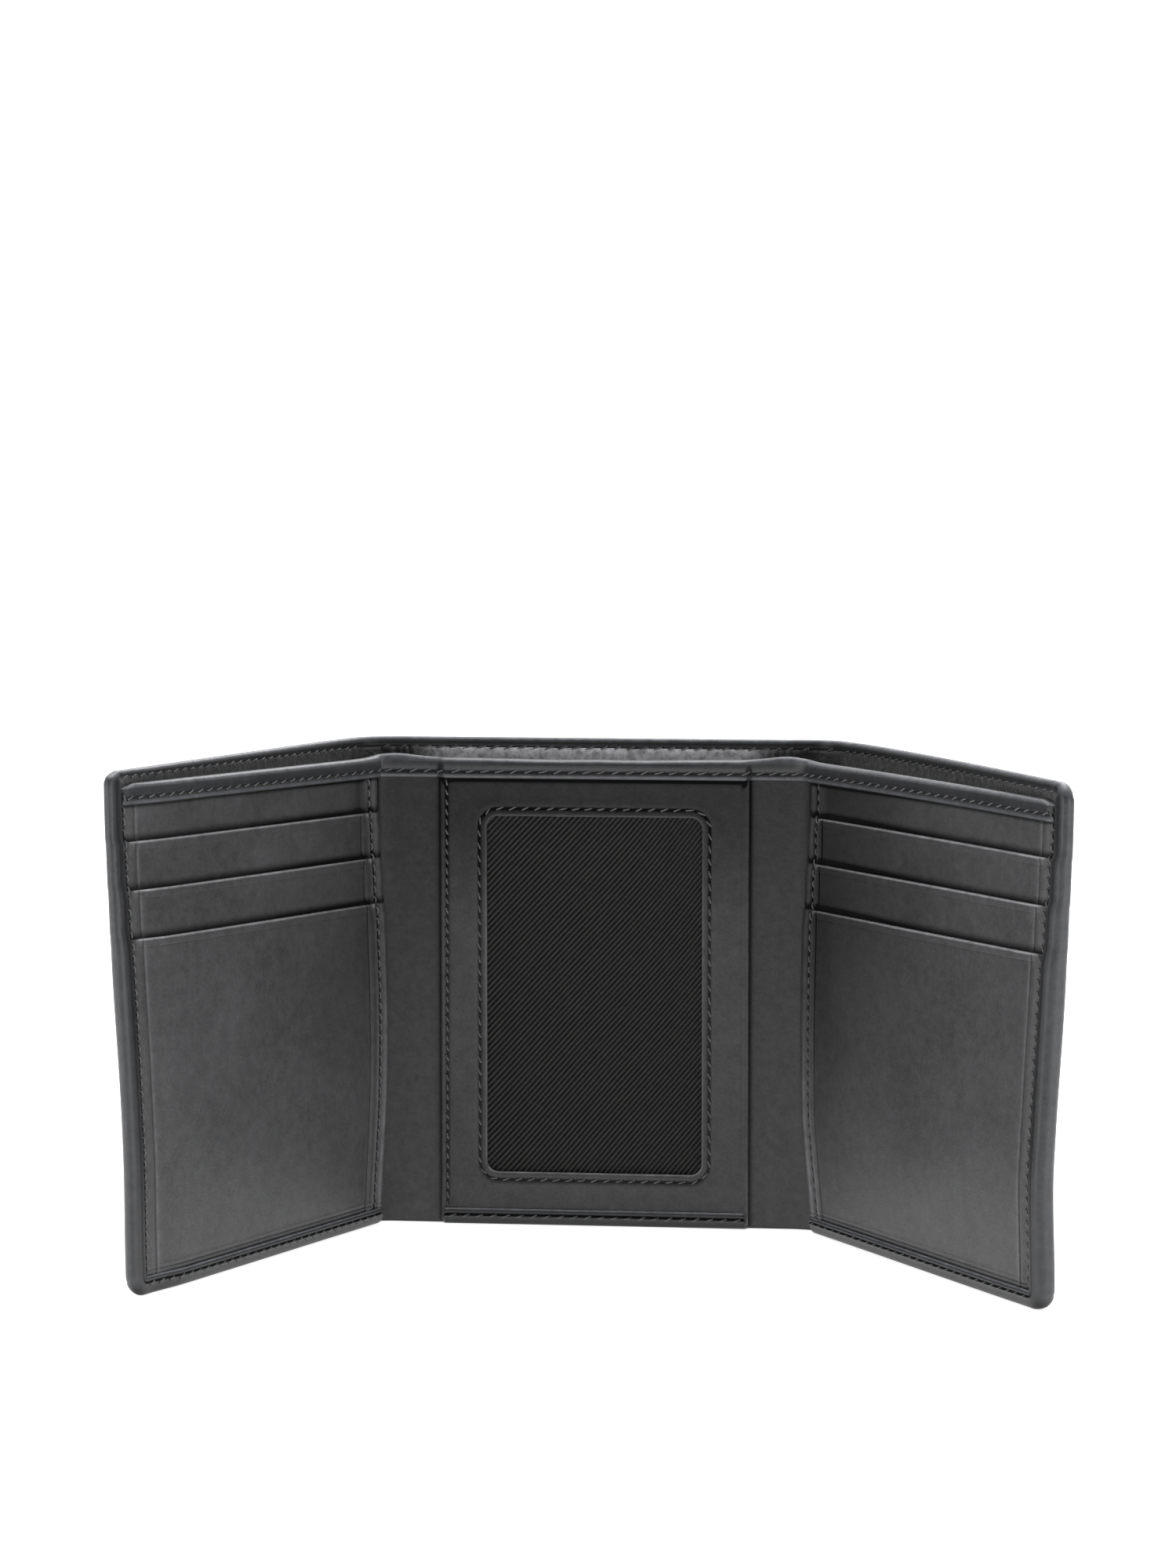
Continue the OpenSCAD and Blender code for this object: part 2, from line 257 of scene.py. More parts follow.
# A closed sheet of leather or cloth: front and back give off at each point of the grid
def slab(name, plan, qs, zs, front, back, material, wearAndPaintedLight=None):
    q, z = np.meshgrid(qs, zs)
    rows, columns = q.shape
    verts = np.concatenate([place(plan, q, z, off(q, z)).reshape(-1, 3) for off in (front, back)])
    faces = gridFaces(rows, columns) + gridFaces(rows, columns, rows * columns)
    faces += borderFaces(rows, columns)[1]
    wornAndPaintedLight = np.zeros(q.size) if wearAndPaintedLight is None else wearAndPaintedLight(q, z).ravel()
    return tidyMesh(name, verts, faces, material, {"wearAndPaintedLight": np.concatenate([wornAndPaintedLight, 0 * wornAndPaintedLight])})


# Materials

def newMaterial(name):
    material = bpy.data.materials.new(name)
    material.use_nodes = True
    tree = material.node_tree
    vector = node(tree, "ShaderNodeTexCoord").outputs["Object"]
    return material, tree, tree.nodes["Principled BSDF"], vector


# Sets a node's inputs and settings by name; another node's output is linked to the input
def feed(tree, made, values):
    for key, value in values.items():
        if key not in made.inputs:
            setattr(made, key, value)
        elif isinstance(value, bpy.types.NodeSocket):
            tree.links.new(value, made.inputs[key])
        else:
            made.inputs[key].default_value = value


def node(tree, kind, **values):
    made = tree.nodes.new(kind)
    feed(tree, made, values)
    return made


def noiseAt(tree, vector, scale, detail=3.0, roughness=0.55):
    made = node(tree, "ShaderNodeTexNoise", Vector=vector, Scale=scale, Detail=detail, Roughness=roughness)
    return made.outputs["Fac"]


def attributeOf(tree, name="wearAndPaintedLight"):
    return node(tree, "ShaderNodeAttribute", attribute_name=name).outputs["Fac"]


def ramp(tree, value, *stops):
    made = node(tree, "ShaderNodeValToRGB", Fac=value)
    elements = made.color_ramp.elements
    while len(elements) < len(stops):
        elements.new(0.5)
    for element, (at, colour) in zip(elements, stops):
        element.position = at
        element.color = colour
    return made.outputs["Color"]


def grey(level, tint=(1.0, 1.0, 1.0)):
    return (level * tint[0], level * tint[1], level * tint[2], 1.0)


def mathNode(tree, operation, *terms):
    made = node(tree, "ShaderNodeMath", operation=operation)
    for socket, term in zip(made.inputs, terms):
        if isinstance(term, (int, float)):
            socket.default_value = term
        else:
            tree.links.new(term, socket)
    return made.outputs["Value"]


def bumpOf(tree, height, strength, distance, **under):
    made = node(tree, "ShaderNodeBump", Strength=strength, Distance=distance, Height=height, **under)
    return made.outputs["Normal"]


def mixColour(tree, factor, a, b):
    return node(tree, "ShaderNodeMix", data_type="RGBA", Factor=factor, A=a, B=b).outputs["Result"]


# In the wear-and-light attribute 1 is pale, partly rubbed leather and mostly a painted highlight, and -1 is
# painted shade, the dark of a seam, a crease or a step
def leatherMaterial(name, settings):
    material, tree, shader, vector = newMaterial(name)
    plus = lambda a, b: mathNode(tree, "ADD", a, b)
    less = lambda a, b: mathNode(tree, "SUBTRACT", a, b)
    times = lambda a, b: mathNode(tree, "MULTIPLY", a, b)
    atLeast = lambda low, a: mathNode(tree, "MAXIMUM", a, low)
    tint, scale = settings["tint"], settings["grainScale"]
    wornAndPaintedLight = attributeOf(tree)
    cloud = noiseAt(tree, vector, settings["cloudScale"], 4.0, 0.6)
    fleck = noiseAt(tree, vector, 420.0, 5.0, 0.65)
    pores = noiseAt(tree, vector, 1500.0, 3.0, 0.6)
    mixed = plus(plus(times(cloud, 0.35), times(fleck, 0.35)), times(pores, 0.3))
    base = ramp(tree, mixed, (0.36, grey(settings["dark"], tint)), (0.66, grey(settings["light"], tint)))
    # positive values mix towards the pale colour: rubbed leather and painted highlights
    base = mixColour(tree, atLeast(0.0, times(wornAndPaintedLight, fleck)), base, grey(settings["rubbedAndHighlight"], tint))
    # negative values are painted shade
    paintedShading = atLeast(0.0, times(wornAndPaintedLight, -0.9))
    unshaded = atLeast(0.05, less(1.0, paintedShading))
    low, high = settings["rough"]
    rough = node(tree, "ShaderNodeMapRange", **{"Value": less(cloud, times(wornAndPaintedLight, 0.2)), "From Min": 0.3,
                                                "From Max": 0.7, "To Min": low, "To Max": high})
    cells = node(tree, "ShaderNodeTexVoronoi", feature="F1", Vector=vector, Scale=scale)
    grain = plus(times(cells.outputs["Distance"], 0.6), noiseAt(tree, vector, scale * 1.7, 4.0, 0.6))
    wrinkle = bumpOf(tree, fleck, settings["wrinkle"], 0.00025)
    # the painted shade mixes the colour towards near black and dims the specular
    feed(tree, shader, {
        "Base Color": mixColour(tree, paintedShading, base, grey(0.003)),
        "Specular IOR Level": times(unshaded, settings["specular"]),
        "Roughness": rough.outputs["Result"],
        "Normal": bumpOf(tree, grain, settings["grain"], 0.00006, Normal=wrinkle),
        "Sheen Weight": settings["sheen"], "Sheen Roughness": 0.5})
    return material


shellLeather = leatherMaterial("black_leather", {
    "cloudScale": 34.0, "grainScale": 2000.0, "dark": 0.014, "light": 0.036, "rubbedAndHighlight": 0.42,
    "tint": (0.96, 0.99, 1.07), "rough": (0.34, 0.44), "grain": 0.5, "wrinkle": 0.22,
    "specular": 0.5, "sheen": 0.04})
pocketLeather = leatherMaterial("pocket_leather", {
    "cloudScale": 30.0, "grainScale": 2300.0, "dark": 0.028, "light": 0.080, "rubbedAndHighlight": 0.40,
    "tint": (0.985, 0.985, 1.03), "rough": (0.40, 0.50), "grain": 0.5, "wrinkle": 0.22,
    "specular": 0.5, "sheen": 0.05})
stripLeather = leatherMaterial("inner_leather", {
    "cloudScale": 34.0, "grainScale": 2600.0, "dark": 0.022, "light": 0.054, "rubbedAndHighlight": 0.2,
    "tint": (1.02, 0.98, 1.0), "rough": (0.50, 0.60), "grain": 0.55, "wrinkle": 0.24,
    "specular": 0.4, "sheen": 0.08})


def liningMaterial():
    material, tree, shader, vector = newMaterial("lining_fabric")
    cloud = noiseAt(tree, vector, 520.0, 4.0, 0.65)
    base = ramp(tree, cloud, (0.35, grey(0.022, (1, 1, 1.05))), (0.65, grey(0.07, (1, 1, 1.05))))
    # painted sheen: where the attribute is high the dark cloth mixes towards pale grey
    lit = mathNode(tree, "MULTIPLY", attributeOf(tree), ramp(tree, cloud, (0.36, grey(0.4)), (0.6, grey(1.0))))
    weave = node(tree, "ShaderNodeTexChecker", Vector=vector, Scale=3600.0).outputs["Fac"]
    feed(tree, shader, {
        "Base Color": mixColour(tree, lit, base, grey(0.9, (1, 0.99, 1.03))),
        "Normal": bumpOf(tree, weave, 0.25, 0.00006, Normal=bumpOf(tree, cloud, 0.6, 0.0006)),
        "Roughness": 0.34, "Sheen Weight": 0.5})
    return material


def twillMaterial():
    material, tree, shader, vector = newMaterial("twill")
    yarn = mathNode(tree, "MULTIPLY", noiseAt(tree, vector, 900.0, 3.0, 0.6), 0.15)
    # the tone follows each rib's height: painted shade in the valleys, lighter on the ribs
    tone = mathNode(tree, "ADD", mathNode(tree, "MULTIPLY", attributeOf(tree, "rib"), 0.85), yarn)
    warm = (1, 1, 0.97)
    base = ramp(tree, tone, (0.2, grey(0.009)), (0.55, grey(0.032, warm)), (0.95, grey(0.078, warm)))
    lint = node(tree, "ShaderNodeTexVoronoi", Vector=vector, Scale=150.0).outputs["Distance"]
    speck = ramp(tree, lint, (0.018, grey(1.0)), (0.032, grey(0.0)))
    feed(tree, shader, {"Base Color": mixColour(tree, speck, base, grey(0.05)),
                        "Roughness": 0.85, "Specular IOR Level": 0.04})
    return material


def threadMaterial():
    material, tree, shader, vector = newMaterial("thread")
    strand = noiseAt(tree, vector, 5200.0, 2.0, 0.5)
    feed(tree, shader, {"Base Color": ramp(tree, strand, (0.35, grey(0.05)), (0.7, grey(0.19, (1, 1, 1.04)))),
                        "Normal": bumpOf(tree, strand, 0.6, 0.00008), "Roughness": 0.42})
    return material


# painted shade: the dark inside of a needle hole
def holeShadeMaterial():
    material, tree, shader, vector = newMaterial("needle_hole_painted_shade")
    shade = ramp(tree, noiseAt(tree, vector, 900.0), (0.3, grey(0.002)), (0.8, grey(0.006)))
    feed(tree, shader, {"Base Color": shade, "Roughness": 0.9, "Specular IOR Level": 0.1})
    return material


def filmMaterial():
    material, tree, shader, vector = newMaterial("clear_film")
    haze = noiseAt(tree, vector, 60.0, 3.0, 0.5)
    feed(tree, shader, {"Base Color": ramp(tree, haze, (0.3, grey(0.02)), (0.7, grey(0.04))),
                        "Normal": bumpOf(tree, haze, 0.05, 0.0004),
                        "Alpha": 0.01, "Roughness": 0.55, "Specular IOR Level": 0.2})
    return material


liningCloth, twillCloth, threadFinish = liningMaterial(), twillMaterial(), threadMaterial()
holeShadeFinish, filmFinish = holeShadeMaterial(), filmMaterial()


# The outer hide: one padded sheet, turned over at every edge

hide = {
    "inset": 5.4,            # where the turned border joins the flat field
    "rimT": 1.9,             # thickness of the turned rim along the top
    "rimTall": 2.5,
    "foldRimT": 1.7,
    "foldHem": 1.3,          # height of the lower hem under a fold, and under the frame
    "centreHem": 3.8,
    "fieldStep": 1.6,
    "skin": 1.0,             # leather behind the surface
}


# Open width of the bill compartment
def billWidth(plan, q, z):
    onWing = smooth(plan["crease"], plan["wingQ"], q)
    top = size["billGap"] + (size["wingGap"][plan["side"]] - size["billGap"]) * onWing
    reach = size["wingW"] - size["gapEnd"] - 8
    t = np.clip((q - plan["wingQ"] - 8) / reach, 0, 1)
    fade = 0.65 * (1 - t) + 0.35 * 0.5 * (1 + np.cos(math.pi * t))
    return top * fade * np.clip(z / size["shellH"], 0, 1)


def shellBack(plan, q, z):
    return size["baseT"] + billWidth(plan, q, z) + size["liningT"]


def shellOut(plan, q, z):
    fromEnd = plan["endQ"] - q
    pull = 0.22 * bell(fromEnd, size["outerSeam"], 0.6) + 0.2 * bell(size["shellH"] - z, 2.6, 0.5)
    pull = pull + 0.2 * bell(z, 3.0, 0.5)
    padding = 0.35 * smooth(0, 9, fromEnd) * smooth(0, 9, z) * smooth(0, 9, size["shellH"] - z)
    return shellBack(plan, q, z) + size["shellT"] + padding - pull + swell(q, z, 11, 42, 0.12)


# Front of the pocket stack at a height, softened over each pocket's top edge
def stackFront(z):
    covered = [1 - smooth(top - 0.6, top + 1.2, z) for top in size["pocketTops"]]
    return -(size["facingT"] + sum(size["pocketT"] * share for share in covered))


def hidePath(plan):
    r, tall, endQ, inset = size["cornerR"], size["shellH"], plan["endQ"], hide["inset"]
    fold = 0.5 * (plan["crease"] + plan["wingQ"])
    qs = gridLines(0, endQ - inset, hide["fieldStep"], (size["frameHalf"], 2.0, 0.25),
                   (plan["wingQ"] + 0.4, 2.0, 0.2), (fold, 7, 0.8))
    zs = gridLines(inset, tall - inset, hide["fieldStep"])
    arc = np.linspace(0, math.pi / 2, 11)[1:-1]
    upright = [gridLines(r, inset, 0.5)[:-1], zs, gridLines(tall - inset, tall - r, 0.5)[1:]]
    straight = np.concatenate([qs, gridLines(endQ - inset, endQ - r, 0.5)[1:]])
    top = [(q, tall, 0, -1) for q in straight]
    bottom = [(q, 0, 0, 1) for q in straight[::-1]]
    side = [(endQ, z, -1, 0) for z in np.concatenate(upright)[::-1]]
    turns = [(math.sin(a), math.cos(a)) for a in arc]
    upper = [(endQ - r + r * s, tall - r + r * c, -s, -c) for s, c in turns]
    lower = [(endQ - r + r * c, r - r * s, -c, s) for s, c in turns]
    return qs, zs, np.array(top + upper + side + lower + bottom)


# What the border looks like along the path: offset of its front, its width and its end's dip
def hemShape(plan, path):
    endQ, hemT = plan["endQ"], size["hemT"]
    q, z, nq, nz = path.T
    out = shellOut(plan, np.minimum(q, endQ - 1), z)
    corner = np.where(nz < -1e-6, smooth(endQ - 5.0, endQ - 0.15, q), 1.0)     # 0 along the rim, 1 at the end
    front = (out - hide["rimT"]) * (1 - corner) + (stackFront(z) - hemT) * corner
    wide = hide["rimTall"] * (1 - corner) + size["hemWide"] * corner
    dip = 0.25 * (1 - corner) + 0.8 * corner
    onWing = smooth(plan["wingQ"] + 0.2, plan["wingQ"] + 1.1, q)
    onFrame = 1 - smooth(size["frameHalf"] - 0.9, size["frameHalf"] + 0.1, q)
    plain, bare = out - hide["foldRimT"], hide["foldHem"]
    lowFront = plain + (-size["frameT"] - hemT - plain) * onFrame + (stackFront(0) - hemT - plain) * onWing
    lowWide = bare + (hide["centreHem"] - bare) * onFrame + (size["hemTall"] - bare) * onWing
    turned = np.where(nz > 1e-6, smooth(0.2, 0.9, nz), 0)                      # 1 along the lower edge
    front = front * (1 - turned) + lowFront * turned
    wide = wide * (1 - turned) + lowWide * turned
    dip = dip * (1 - turned) + (0.12 * onFrame + 0.25 * onWing) * turned
    return out, front, wide, dip


# The path moved inwards by d, round a corner as long as its radius allows
def insetPath(plan, path, d):
    tall, r = size["shellH"], size["cornerR"]
    q, z, nq, nz = path.T
    q, z = q + nq * np.minimum(d, r), z + nz * np.minimum(d, r)
    more, straight = np.maximum(d - r, 0), 1 - 1e-9
    q = np.where(nq <= -straight, q - more, q)
    z = np.where(nz <= -straight, z - more, np.where(nz >= straight, z + more, z))
    return np.minimum(q, plan["endQ"] - np.maximum(d, 0)), np.clip(z, d, tall - d)


def hideRings(plan, path):
    out, front, wide, dip = hemShape(plan, path)
    half, middle = (out - front) / 2, (out + front) / 2
    reach = np.minimum(2.3, half * 0.95)
    foot, crest = smooth(0.2, 0.9, path[:, 3]), smooth(0.2, 0.9, -path[:, 3])
    inside = lambda q, z: shellOut(plan, q, z) - hide["skin"]
    rings = []

    def ring(d, off, wornAndPaintedLight=0.0):
        q, z = insetPath(plan, path, d)
        rings.append((q, z, off(q, z) if callable(off) else off, wornAndPaintedLight + 0 * d))

    for share in (1.0, 0.72, 0.5, 0.3, 0.12):
        ring(reach + (hide["inset"] - reach) * share, lambda q, z: shellOut(plan, q, z))
    # the roll gets a painted highlight on top along the rim and painted shade at the foot
    for a in np.radians(np.linspace(80, -90, 13)):             # the rolled edge, back to front
        c, s = math.cos(a), math.sin(a)
        rolled = middle + half * np.sign(s) * abs(s) ** 0.9
        ring(reach * (1 - abs(c) ** 0.85), rolled, (0.1 + 0.9 * crest - 1.0 * foot) * c)
    # across the turned border: share of its width, crown on top and at the foot, painted shade at the foot that
    # turns to a faint painted highlight at its far edge; along the top the border gets a lighter painted shade
    for share, crown, footCrown, paintedShading in ((0.12, -0.8, -0.22, -0.8), (0.3, -1.0, 0.20, -0.9),
                                           (0.5, -0.9, -0.16, -0.2), (0.68, -0.7, -0.24, 0.0),
                                           (0.82, -0.2, -0.1, 0.2)):
        puff = 0.06 * crown * (1 - foot) + footCrown * foot
        mark = np.where(path[:, 3] > 0.5, paintedShading, -0.1 - 0.5 * np.abs(paintedShading))
        sink = dip * smooth(0.6, 1.05, share) * (1 - 0.6 * foot)
        ring(reach + (wide - reach) * share, front + puff + sink, mark)
    # its cut edge, and back underneath to the inside of the leather
    # a painted highlight along the cut edge, strongest on the lower hem, then painted shade just under it
    ring(wide - 0.34, front + dip * 0.9, 0.4 + 0.6 * foot)
    ring(wide - 0.10, front + dip + 0.10, 0.1 + 0.9 * foot)
    ring(wide, front + dip + 0.22, -0.5 + 0.6 * foot)
    ring(wide + 0.02, front + dip + 0.3, -0.8)
    ring(wide - 0.5, front + dip + 0.32)
    ring(np.maximum(reach, 0.9), np.minimum(front + 0.8, middle + 0.2 * half))
    ring(reach * 0.75 + 0.1, middle + 0.3 * half)
    ring(np.maximum(reach, 1.2), inside)
    ring(hide["inset"] + 0 * reach, inside)
    return rings


def makeHide(side):
    plan = plans[side]
    qs, zs, path = hidePath(plan)
    rings = hideRings(plan, path)
    count = len(path)
    verts = [place(plan, q, z, off) for q, z, off, wornAndPaintedLight in rings]
    wearAndPaintedLight = [np.broadcast_to(wornAndPaintedLight, q.shape) for q, z, off, wornAndPaintedLight in rings]
    faces = gridFaces(len(rings), count)
    q, z = np.meshgrid(qs, zs)
    start = len(rings) * count
    for back in (0.0, hide["skin"]):
        verts.append(place(plan, q, z, shellOut(plan, q, z) - back).reshape(-1, 3))
        wearAndPaintedLight.append(np.zeros(q.size))
        faces += gridFaces(len(zs), len(qs), start)
        start += q.size
    # close the cut at the middle: the border's two ends and the strip between the faces
    rows = np.arange(len(rings)) * count
    faces += [rows.tolist(), (rows + count - 1).tolist()]
    field = len(rings) * count + np.arange(len(zs)) * len(qs)
    behind = field + q.size
    faces += np.stack([field[:-1], field[1:], behind[1:], behind[:-1]], axis=1).tolist()
    piece = tidyMesh(side + "Hide", np.concatenate([v.reshape(-1, 3) for v in verts]), faces, shellLeather,
                     {"wearAndPaintedLight": np.concatenate([w.ravel() for w in wearAndPaintedLight])}, sharp=60)
    nodes = [side + "_shell", side + "_fold_shell", side + "_edge_hem"]
    nodes.append("centre_shell" if side == "left" else "centre_bottom_hem")
    settle(piece, nodes, plan=plan)


# A piece that crosses a fold keeps the shape it was built in: its transform is baked into its mesh, and the
# points it finds at the crease and on the wing are not used
def blendOver(piece, plan):
    start = place(plan, plan["crease"] - 2.0, 0, 0)
    end = place(plan, plan["wingQ"] + 6.0, 0, 0)
    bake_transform(piece)


# Rides one body, or has its transform baked if it has a plan, and stands for its CAD nodes
def settle(piece, nodes, body=None, plan=None):
    if plan is None:
        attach(piece, body)
    else:
        blendOver(piece, plan)
    if nodes:
        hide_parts(*nodes)


# Pockets, facing, strips, binding, lining

pocket = {
    "creaseInner": {"left": 7.8, "right": 6.2},      # heat creases beside the seams
    "creaseOuter": 7.7,
    "creaseDeep": 0.20,
    "paintedFoldShade": {"left": 0.36, "right": 0.8},         # painted shade, darker near the fold, at the top
    "shine": {"left": 1.1, "right": 1.7},            # how bright the painted highlight along the top edges is
    "lip": 0.16,             # turned leather along the top edge
    "mouth": 0.28,           # how far the top edge stands open in the middle
}


def pocketRelief(plan, q, z, level, top):
    s, wide = q - plan["wingQ"], size["wingW"]
    inner, outer = pocket["creaseInner"][plan["side"]], wide - pocket["creaseOuter"]
    deep = pocket["creaseDeep"]
    free = smooth(inner - 1.6, inner - 0.2, s) * smooth(6.2, 7.6, wide - s)         # sewn flat outside this
    # from the inner edge out: rounded edge, seam, crease, crease, outer seam
    relief = edgeDrop(s - 0.15, 0.4) - 0.30 * bell(s, 1.8, 0.8) + 0.48 * bell(s, size["innerSeam"], 0.55)
    relief = relief - 0.38 * bell(s, inner - 1.3, 0.9) + deep * bell(s, inner, 0.2)
    relief = relief - 0.05 * bell(s, inner + 0.5, 0.3)
    relief = relief + deep * bell(s, outer, 0.17) - 0.07 * bell(s, outer - 0.5, 0.3)
    relief = relief + 0.45 * smooth(wide - 6.8, wide - 4.9, s)
    # up to the top edge: creased line, turned lip, held down at the seams, open in the middle
    relief = relief + edgeDrop(top - z, 0.4) - pocket["lip"] * free * bell(z, top - 0.6, 0.55)
    relief = relief + 0.34 * (1 - free) * smooth(top - 4, top - 0.5, z)
    relief = relief + 0.10 * free * bell(z, top - 1.75, 0.17)
    middle = np.sin(math.pi * np.clip((s - 4) / (wide - 10), 0, 1)) ** 0.7
    relief = relief - pocket["mouth"] * middle * smooth(top - 9, top, z)
    inside = smooth(6, 16, s) * smooth(8, 18, wide - s)
    return relief + swell(q, z, 20 + level, 34, 0.10) * inside


# Painted highlights along the pocket's edge, on the ridges beside the seam and at its corners; painted shade in
# the seams and creases, under the binding, behind the next pocket and towards the top near the fold
def pocketPaintedLight(plan, q, z, top, following):
    s, wide = q - plan["wingQ"], size["wingW"]
    inner, outer = pocket["creaseInner"][plan["side"]], wide - pocket["creaseOuter"]
    seam = size["innerSeam"]
    # painted shade
    dark = 0.75 * bell(s, seam, 0.4) + 0.75 * bell(s, inner, 0.2) + 0.9 * bell(z, size["bindingZ"] - 0.15, 0.45)
    dark = dark + 0.6 * bell(s, outer, 0.16) + 0.8 * smooth(wide - 5.2, wide - 4.4, s)
    dark = dark + (1 - smooth(following + 0.1, following + 2.0, z)) * smooth(following - 2, following - 0.5, z)
    free = smooth(inner - 1.6, inner - 0.2, s) * smooth(6.2, 7.6, wide - s)
    # painted highlights
    pale = pocket["shine"][plan["side"]] * free * bell(z, top - 0.1, 0.24)
    pale = pale + 0.5 * (bell(s, seam + 1.3, 0.5) + bell(s, seam - 1.4, 0.5))
    pale = pale + 1.2 * bell(s, seam + 1.2, 0.9) * bell(z, top - 0.4, 0.5)
    outerCorner = smooth(wide - 17, wide - 9, s) * (1 - smooth(wide - 6.5, wide - 5.5, s))
    pale = pale + 0.9 * bell(z, top - 0.1, 0.25) * outerCorner
    pale = pale + 0.25 * bell(s, outer - 0.6, 0.35) * smooth(0, 2, top - z)
    paintedFoldShade = pocket["paintedFoldShade"][plan["side"]] * smooth(15, 75, z) * (1 - smooth(0.0, 0.65, s / wide))
    return pale - np.clip(dark, 0, 1) - paintedFoldShade


def makePocket(side, level, row):
    plan, top = plans[side], size["pocketTops"][level]
    wingQ, endQ = plan["wingQ"], plan["endQ"]
    front = -(size["facingT"] + (level + 1) * size["pocketT"])
    following = (size["pocketTops"] + [-9])[level + 1]         # top of the pocket in front, if there is one
    qs = gridLines(wingQ + 0.15, endQ - 1.6, 1.7, (wingQ + 0.3, 0.5, 0.1),
                   (wingQ + size["innerSeam"], 1.6, 0.2), (wingQ + pocket["creaseInner"][side], 1.2, 0.12),
                   (endQ - pocket["creaseOuter"], 1.0, 0.11), (endQ - 5.6, 1.2, 0.25))
    zs = gridLines(1.0, top, 1.9, (top - 0.3, 0.4, 0.08), (top - 1.7, 0.8, 0.11), (5.0, 1.6, 0.13),
                   (following + 0.7, 1.6, 0.2))

    def surface(q, z):
        off = front + pocketRelief(plan, q, z, level, top)
        if row == "front":                                     # creased above the lower hem
            off = off + 0.16 * bell(z, 5.0, 0.2) - 0.05 * bell(z, 5.6, 0.3) + 0.3 * smooth(4.6, 3.6, z)
        return off

    piece = slab(side + row.title() + "Pocket", plan, qs, zs, surface, lambda q, z: front + 0.56 + 0 * q,
                 pocketLeather, lambda q, z: pocketPaintedLight(plan, q, z, top, following))
    settle(piece, ["%s_%s_pocket" % (side, row)], plan["body"])


def makeFacing(side):
    plan, following = plans[side], size["pocketTops"][0]
    wingQ, endQ, top = plan["wingQ"], plan["endQ"], size["innerH"] + 6      # its top edge is under the binding
    qs = gridLines(wingQ + 0.15, endQ - 1.6, 2.5, (wingQ + 2.8, 2.0, 0.25), (endQ - 6.5, 2.0, 0.25))
    zs = gridLines(1.0, size["innerH"] - 0.4, 4.0, (96, 5, 0.8), (following + 0.7, 1.6, 0.2),
                   (size["bindingZ"], 1.0, 0.2))
    surface = lambda q, z: -size["facingT"] - 0.1 + pocketRelief(plan, q, z, 9, top)
    piece = slab(side + "Facing", plan, qs, zs, surface, lambda q, z: -0.02 + 0 * q, pocketLeather,
                 lambda q, z: pocketPaintedLight(plan, q, z, top, following))
    settle(piece, [side + "_facing"], plan["body"])


def makeBase(side):
    plan = plans[side]
    qs = gridLines(plan["wingQ"], plan["endQ"] - 1.6, 3.0)
    zs = gridLines(0.8, size["innerH"] - 0.5, 4.0)
    back = lambda q, z: size["baseT"] + 0 * q
    piece = slab(side + "Base", plan, qs, zs, lambda q, z: 0 * q, back, stripLeather)
    settle(piece, [side + "_base"], plan["body"])


def makeStrip(side):
    plan, start = plans[side], size["frameHalf"]
    qs = gridLines(start - 1.0, plan["wingQ"] + 0.1, 0.7, (start + 0.3, 0.8, 0.2))
    zs = gridLines(0.7, size["innerH"] - 0.6, 2.0)
    hollow = lambda q: np.sin(math.pi * np.clip((q - start) / (plan["wingQ"] - start), 0, 1)) ** 2
    surface = lambda q, z: -0.16 + swell(q, z, 5, 24, 0.03) - 0.12 * hollow(q)
    # painted shade in the gaps at the frame's edge and the wing's edge; lighter towards the bottom and darker
    # towards the top as painted light
    edges = lambda q: 0.8 * bell(q, start + 0.1, 0.5) + 0.9 * bell(q, plan["wingQ"], 0.5)
    shade = lambda q, z: 0.2 * (1 - smooth(0, 60, z)) - 0.35 * smooth(45, 105, z) - edges(q)
    back = lambda q, z: size["baseT"] + 0.02 + 0 * q
    piece = slab(side + "FoldStrip", plan, qs, zs, surface, back, stripLeather, shade)
    settle(piece, [side + "_fold_strip"], plan=plan)


# A profile of (off, z) swept along q, closed at both ends
def sweep(name, plan, qs, profile, material, wearAndPaintedLight):
    rings = [np.array(profile(q)) for q in qs]
    rows, count = len(qs), len(rings[0])
    verts = np.concatenate([place(plan, q, ring[:, 1], ring[:, 0]) for q, ring in zip(qs, rings)])
    faces = tubeFaces(rows, count)
    faces += [list(range(count)), list(range((rows - 1) * count, rows * count))]
    return tidyMesh(name, verts, faces, material, {"wearAndPaintedLight": np.tile(wearAndPaintedLight, rows)}, sharp=50)


binding = {
    "thick": 0.5,
    "back": 1.2,
    "backTall": 3.2,
    "seamZ": 2.9,
    "tuck": 4.15,            # its end goes under the turned end of the shell
}


def bindingFront(plan, q):
    onFrame = 1 - smooth(size["frameHalf"] - 1.0, size["frameHalf"] + 0.8, q)
    onWing = smooth(plan["wingQ"] - 0.8, plan["wingQ"] + 1.2, q)
    return -0.62 - (size["frameT"] - 0.1) * onFrame - size["facingT"] * onWing


